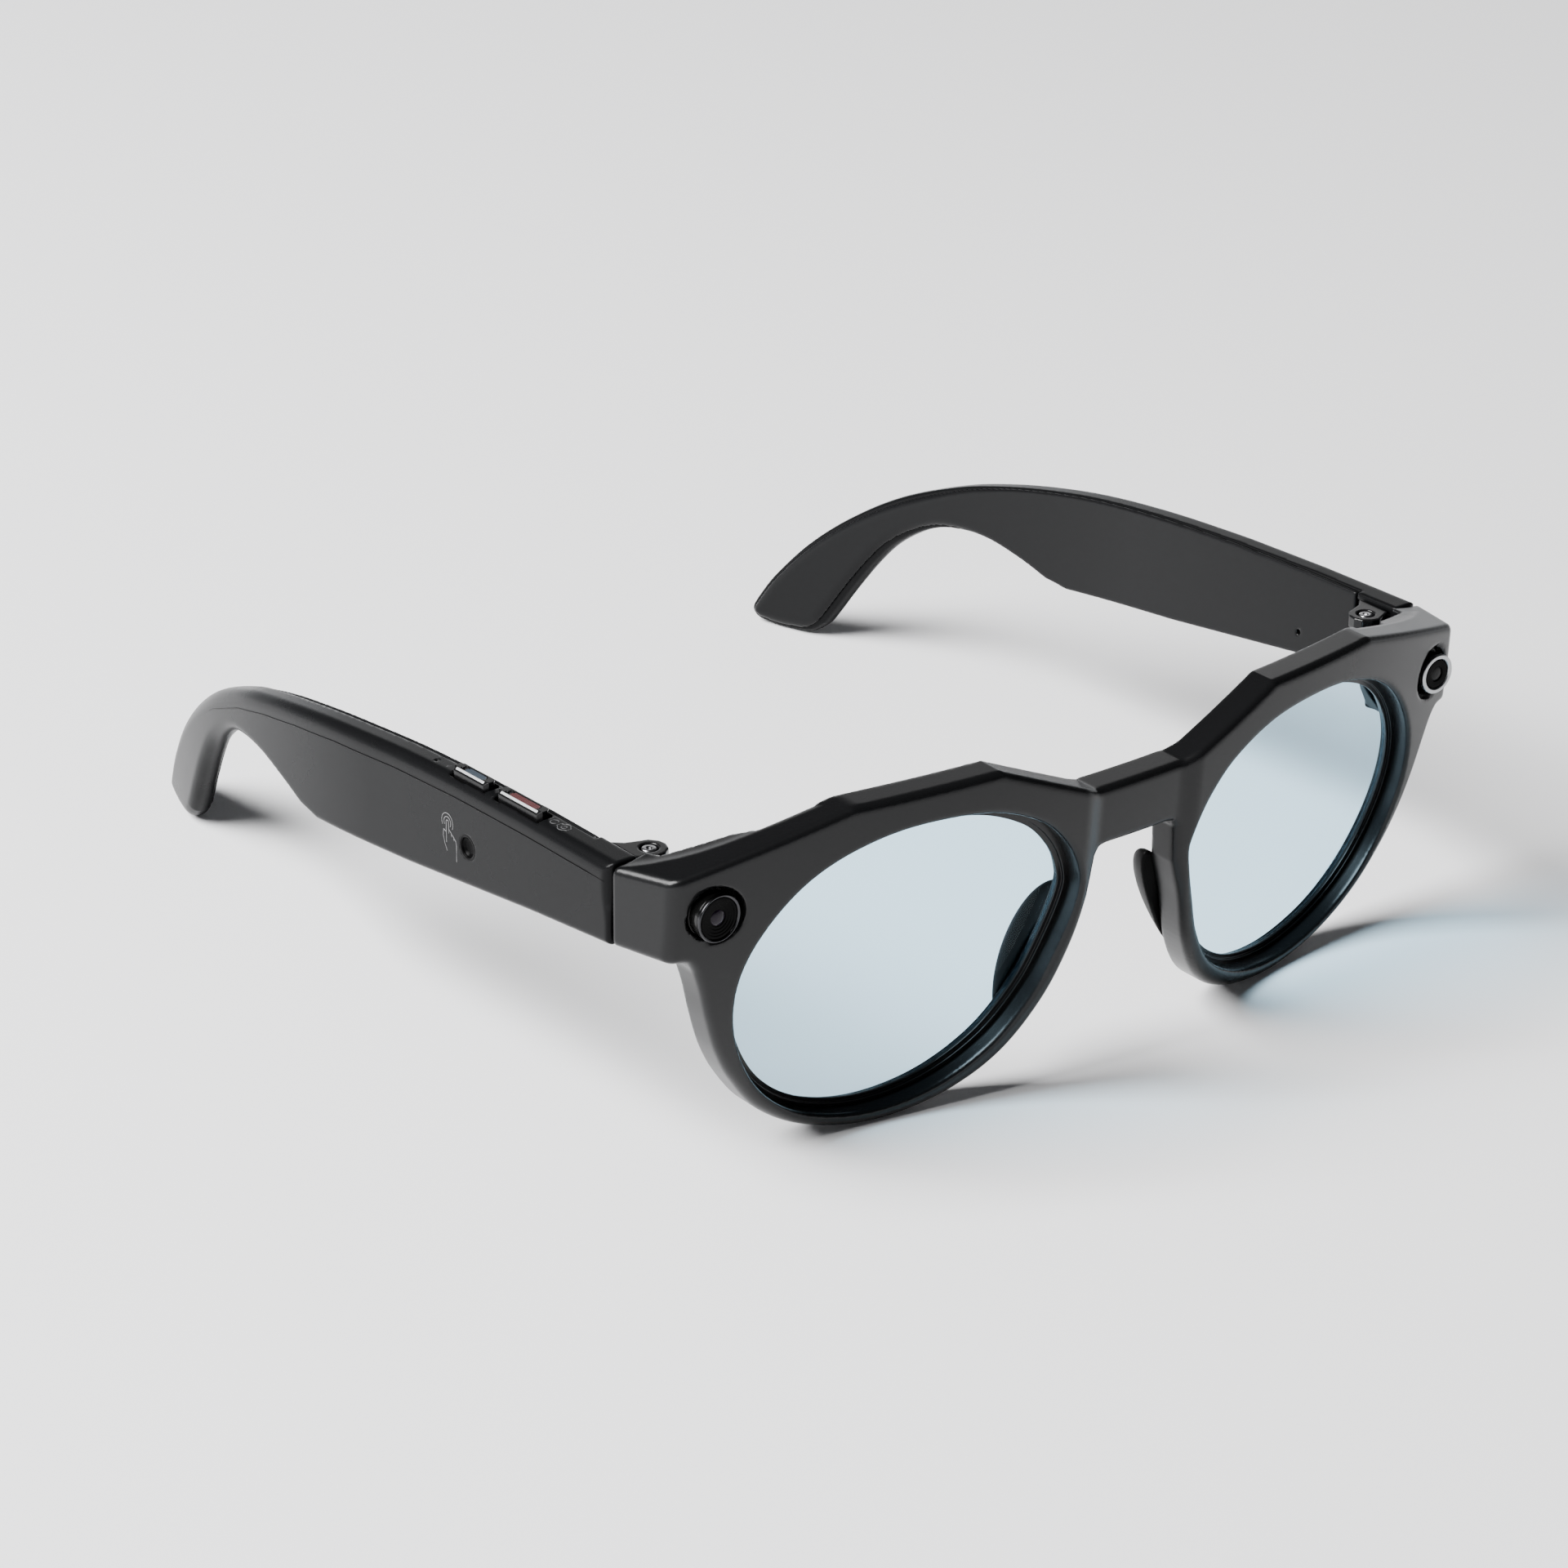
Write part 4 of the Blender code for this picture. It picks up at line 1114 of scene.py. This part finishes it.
def link(name, data):
    obj = bpy.data.objects.new(name, data)
    bpy.context.scene.collection.objects.link(obj)
    return obj


def add_camera():
    """Looks at the glasses from ahead, above and the wearer's right."""
    data = bpy.data.cameras.new("camera")
    data.lens = CAMERA_LENS
    data.sensor_width = SENSOR_WIDTH
    data.clip_start = 0.01
    camera = link("camera", data)
    a, e, r = CAMERA_AZIMUTH, CAMERA_ELEVATION, CAMERA_ROLL
    back = Vector((math.sin(a) * math.cos(e), -math.cos(a) * math.cos(e), math.sin(e)))
    right = Vector((math.cos(a), math.sin(a), 0))
    up = back.cross(right)
    level = right * math.cos(r) + up * math.sin(r)
    upright = up * math.cos(r) - right * math.sin(r)
    x, y, z = CAMERA_TARGET
    target = Vector((x, y + DESIGN_Y, z + DESIGN_Z))
    place = (target + back * CAMERA_DISTANCE) * MM
    turn = Matrix((level, upright, back)).transposed().to_4x4()
    camera.matrix_world = Matrix.Translation(place) @ turn
    bpy.context.scene.camera = camera


def add_light(name, place, size, power):
    data = bpy.data.lights.new(name, "AREA")
    data.shape = "RECTANGLE"
    data.size, data.size_y = size
    data.energy = power
    light = link(name, data)
    light.location = place
    away = Vector(place) - Vector(LIGHT_AIM)
    light.rotation_euler = away.to_track_quat("Z", "Y").to_euler()


def add_floor():
    bm = bmesh.new()
    bmesh.ops.create_grid(bm, x_segments=8, y_segments=8, size=FLOOR_SIZE)
    mesh = bpy.data.meshes.new("floor")
    bm.to_mesh(mesh)
    bm.free()
    made = bpy.data.materials.new("floor")
    made.use_nodes = True
    shader = made.node_tree.nodes["Principled BSDF"]
    shader.inputs["Base Color"].default_value = FLOOR_COLOR
    shader.inputs["Roughness"].default_value = 0.75
    mesh.materials.append(made)
    link("floor", mesh)


def add_world():
    """Bright round the horizon and darker overhead, like a room with low soft walls of light."""
    world = bpy.data.worlds.new("studio")
    bpy.context.scene.world = world
    world.use_nodes = True
    nodes, links = world.node_tree.nodes, world.node_tree.links
    place = nodes.new("ShaderNodeTexCoord")
    split = nodes.new("ShaderNodeSeparateXYZ")
    links.new(place.outputs["Generated"], split.inputs["Vector"])
    ramp = nodes.new("ShaderNodeValToRGB")
    ramp.color_ramp.interpolation = "EASE"
    low, high = ramp.color_ramp.elements
    low.position, low.color = 0.0, HORIZON_COLOR
    high.position, high.color = 0.3, OVERHEAD_COLOR
    links.new(split.outputs["Z"], ramp.inputs["Fac"])
    sky = nodes["Background"]
    links.new(ramp.outputs["Color"], sky.inputs["Color"])
    sky.inputs["Strength"].default_value = SKY_STRENGTH


add_camera()
add_floor()
add_world()
add_light("overhead", (-1.15, 0.35, 1.3), (1.1, 1.1), 130)
add_light("back", (1.0, 1.25, 0.62), (0.9, 0.5), 1.6)
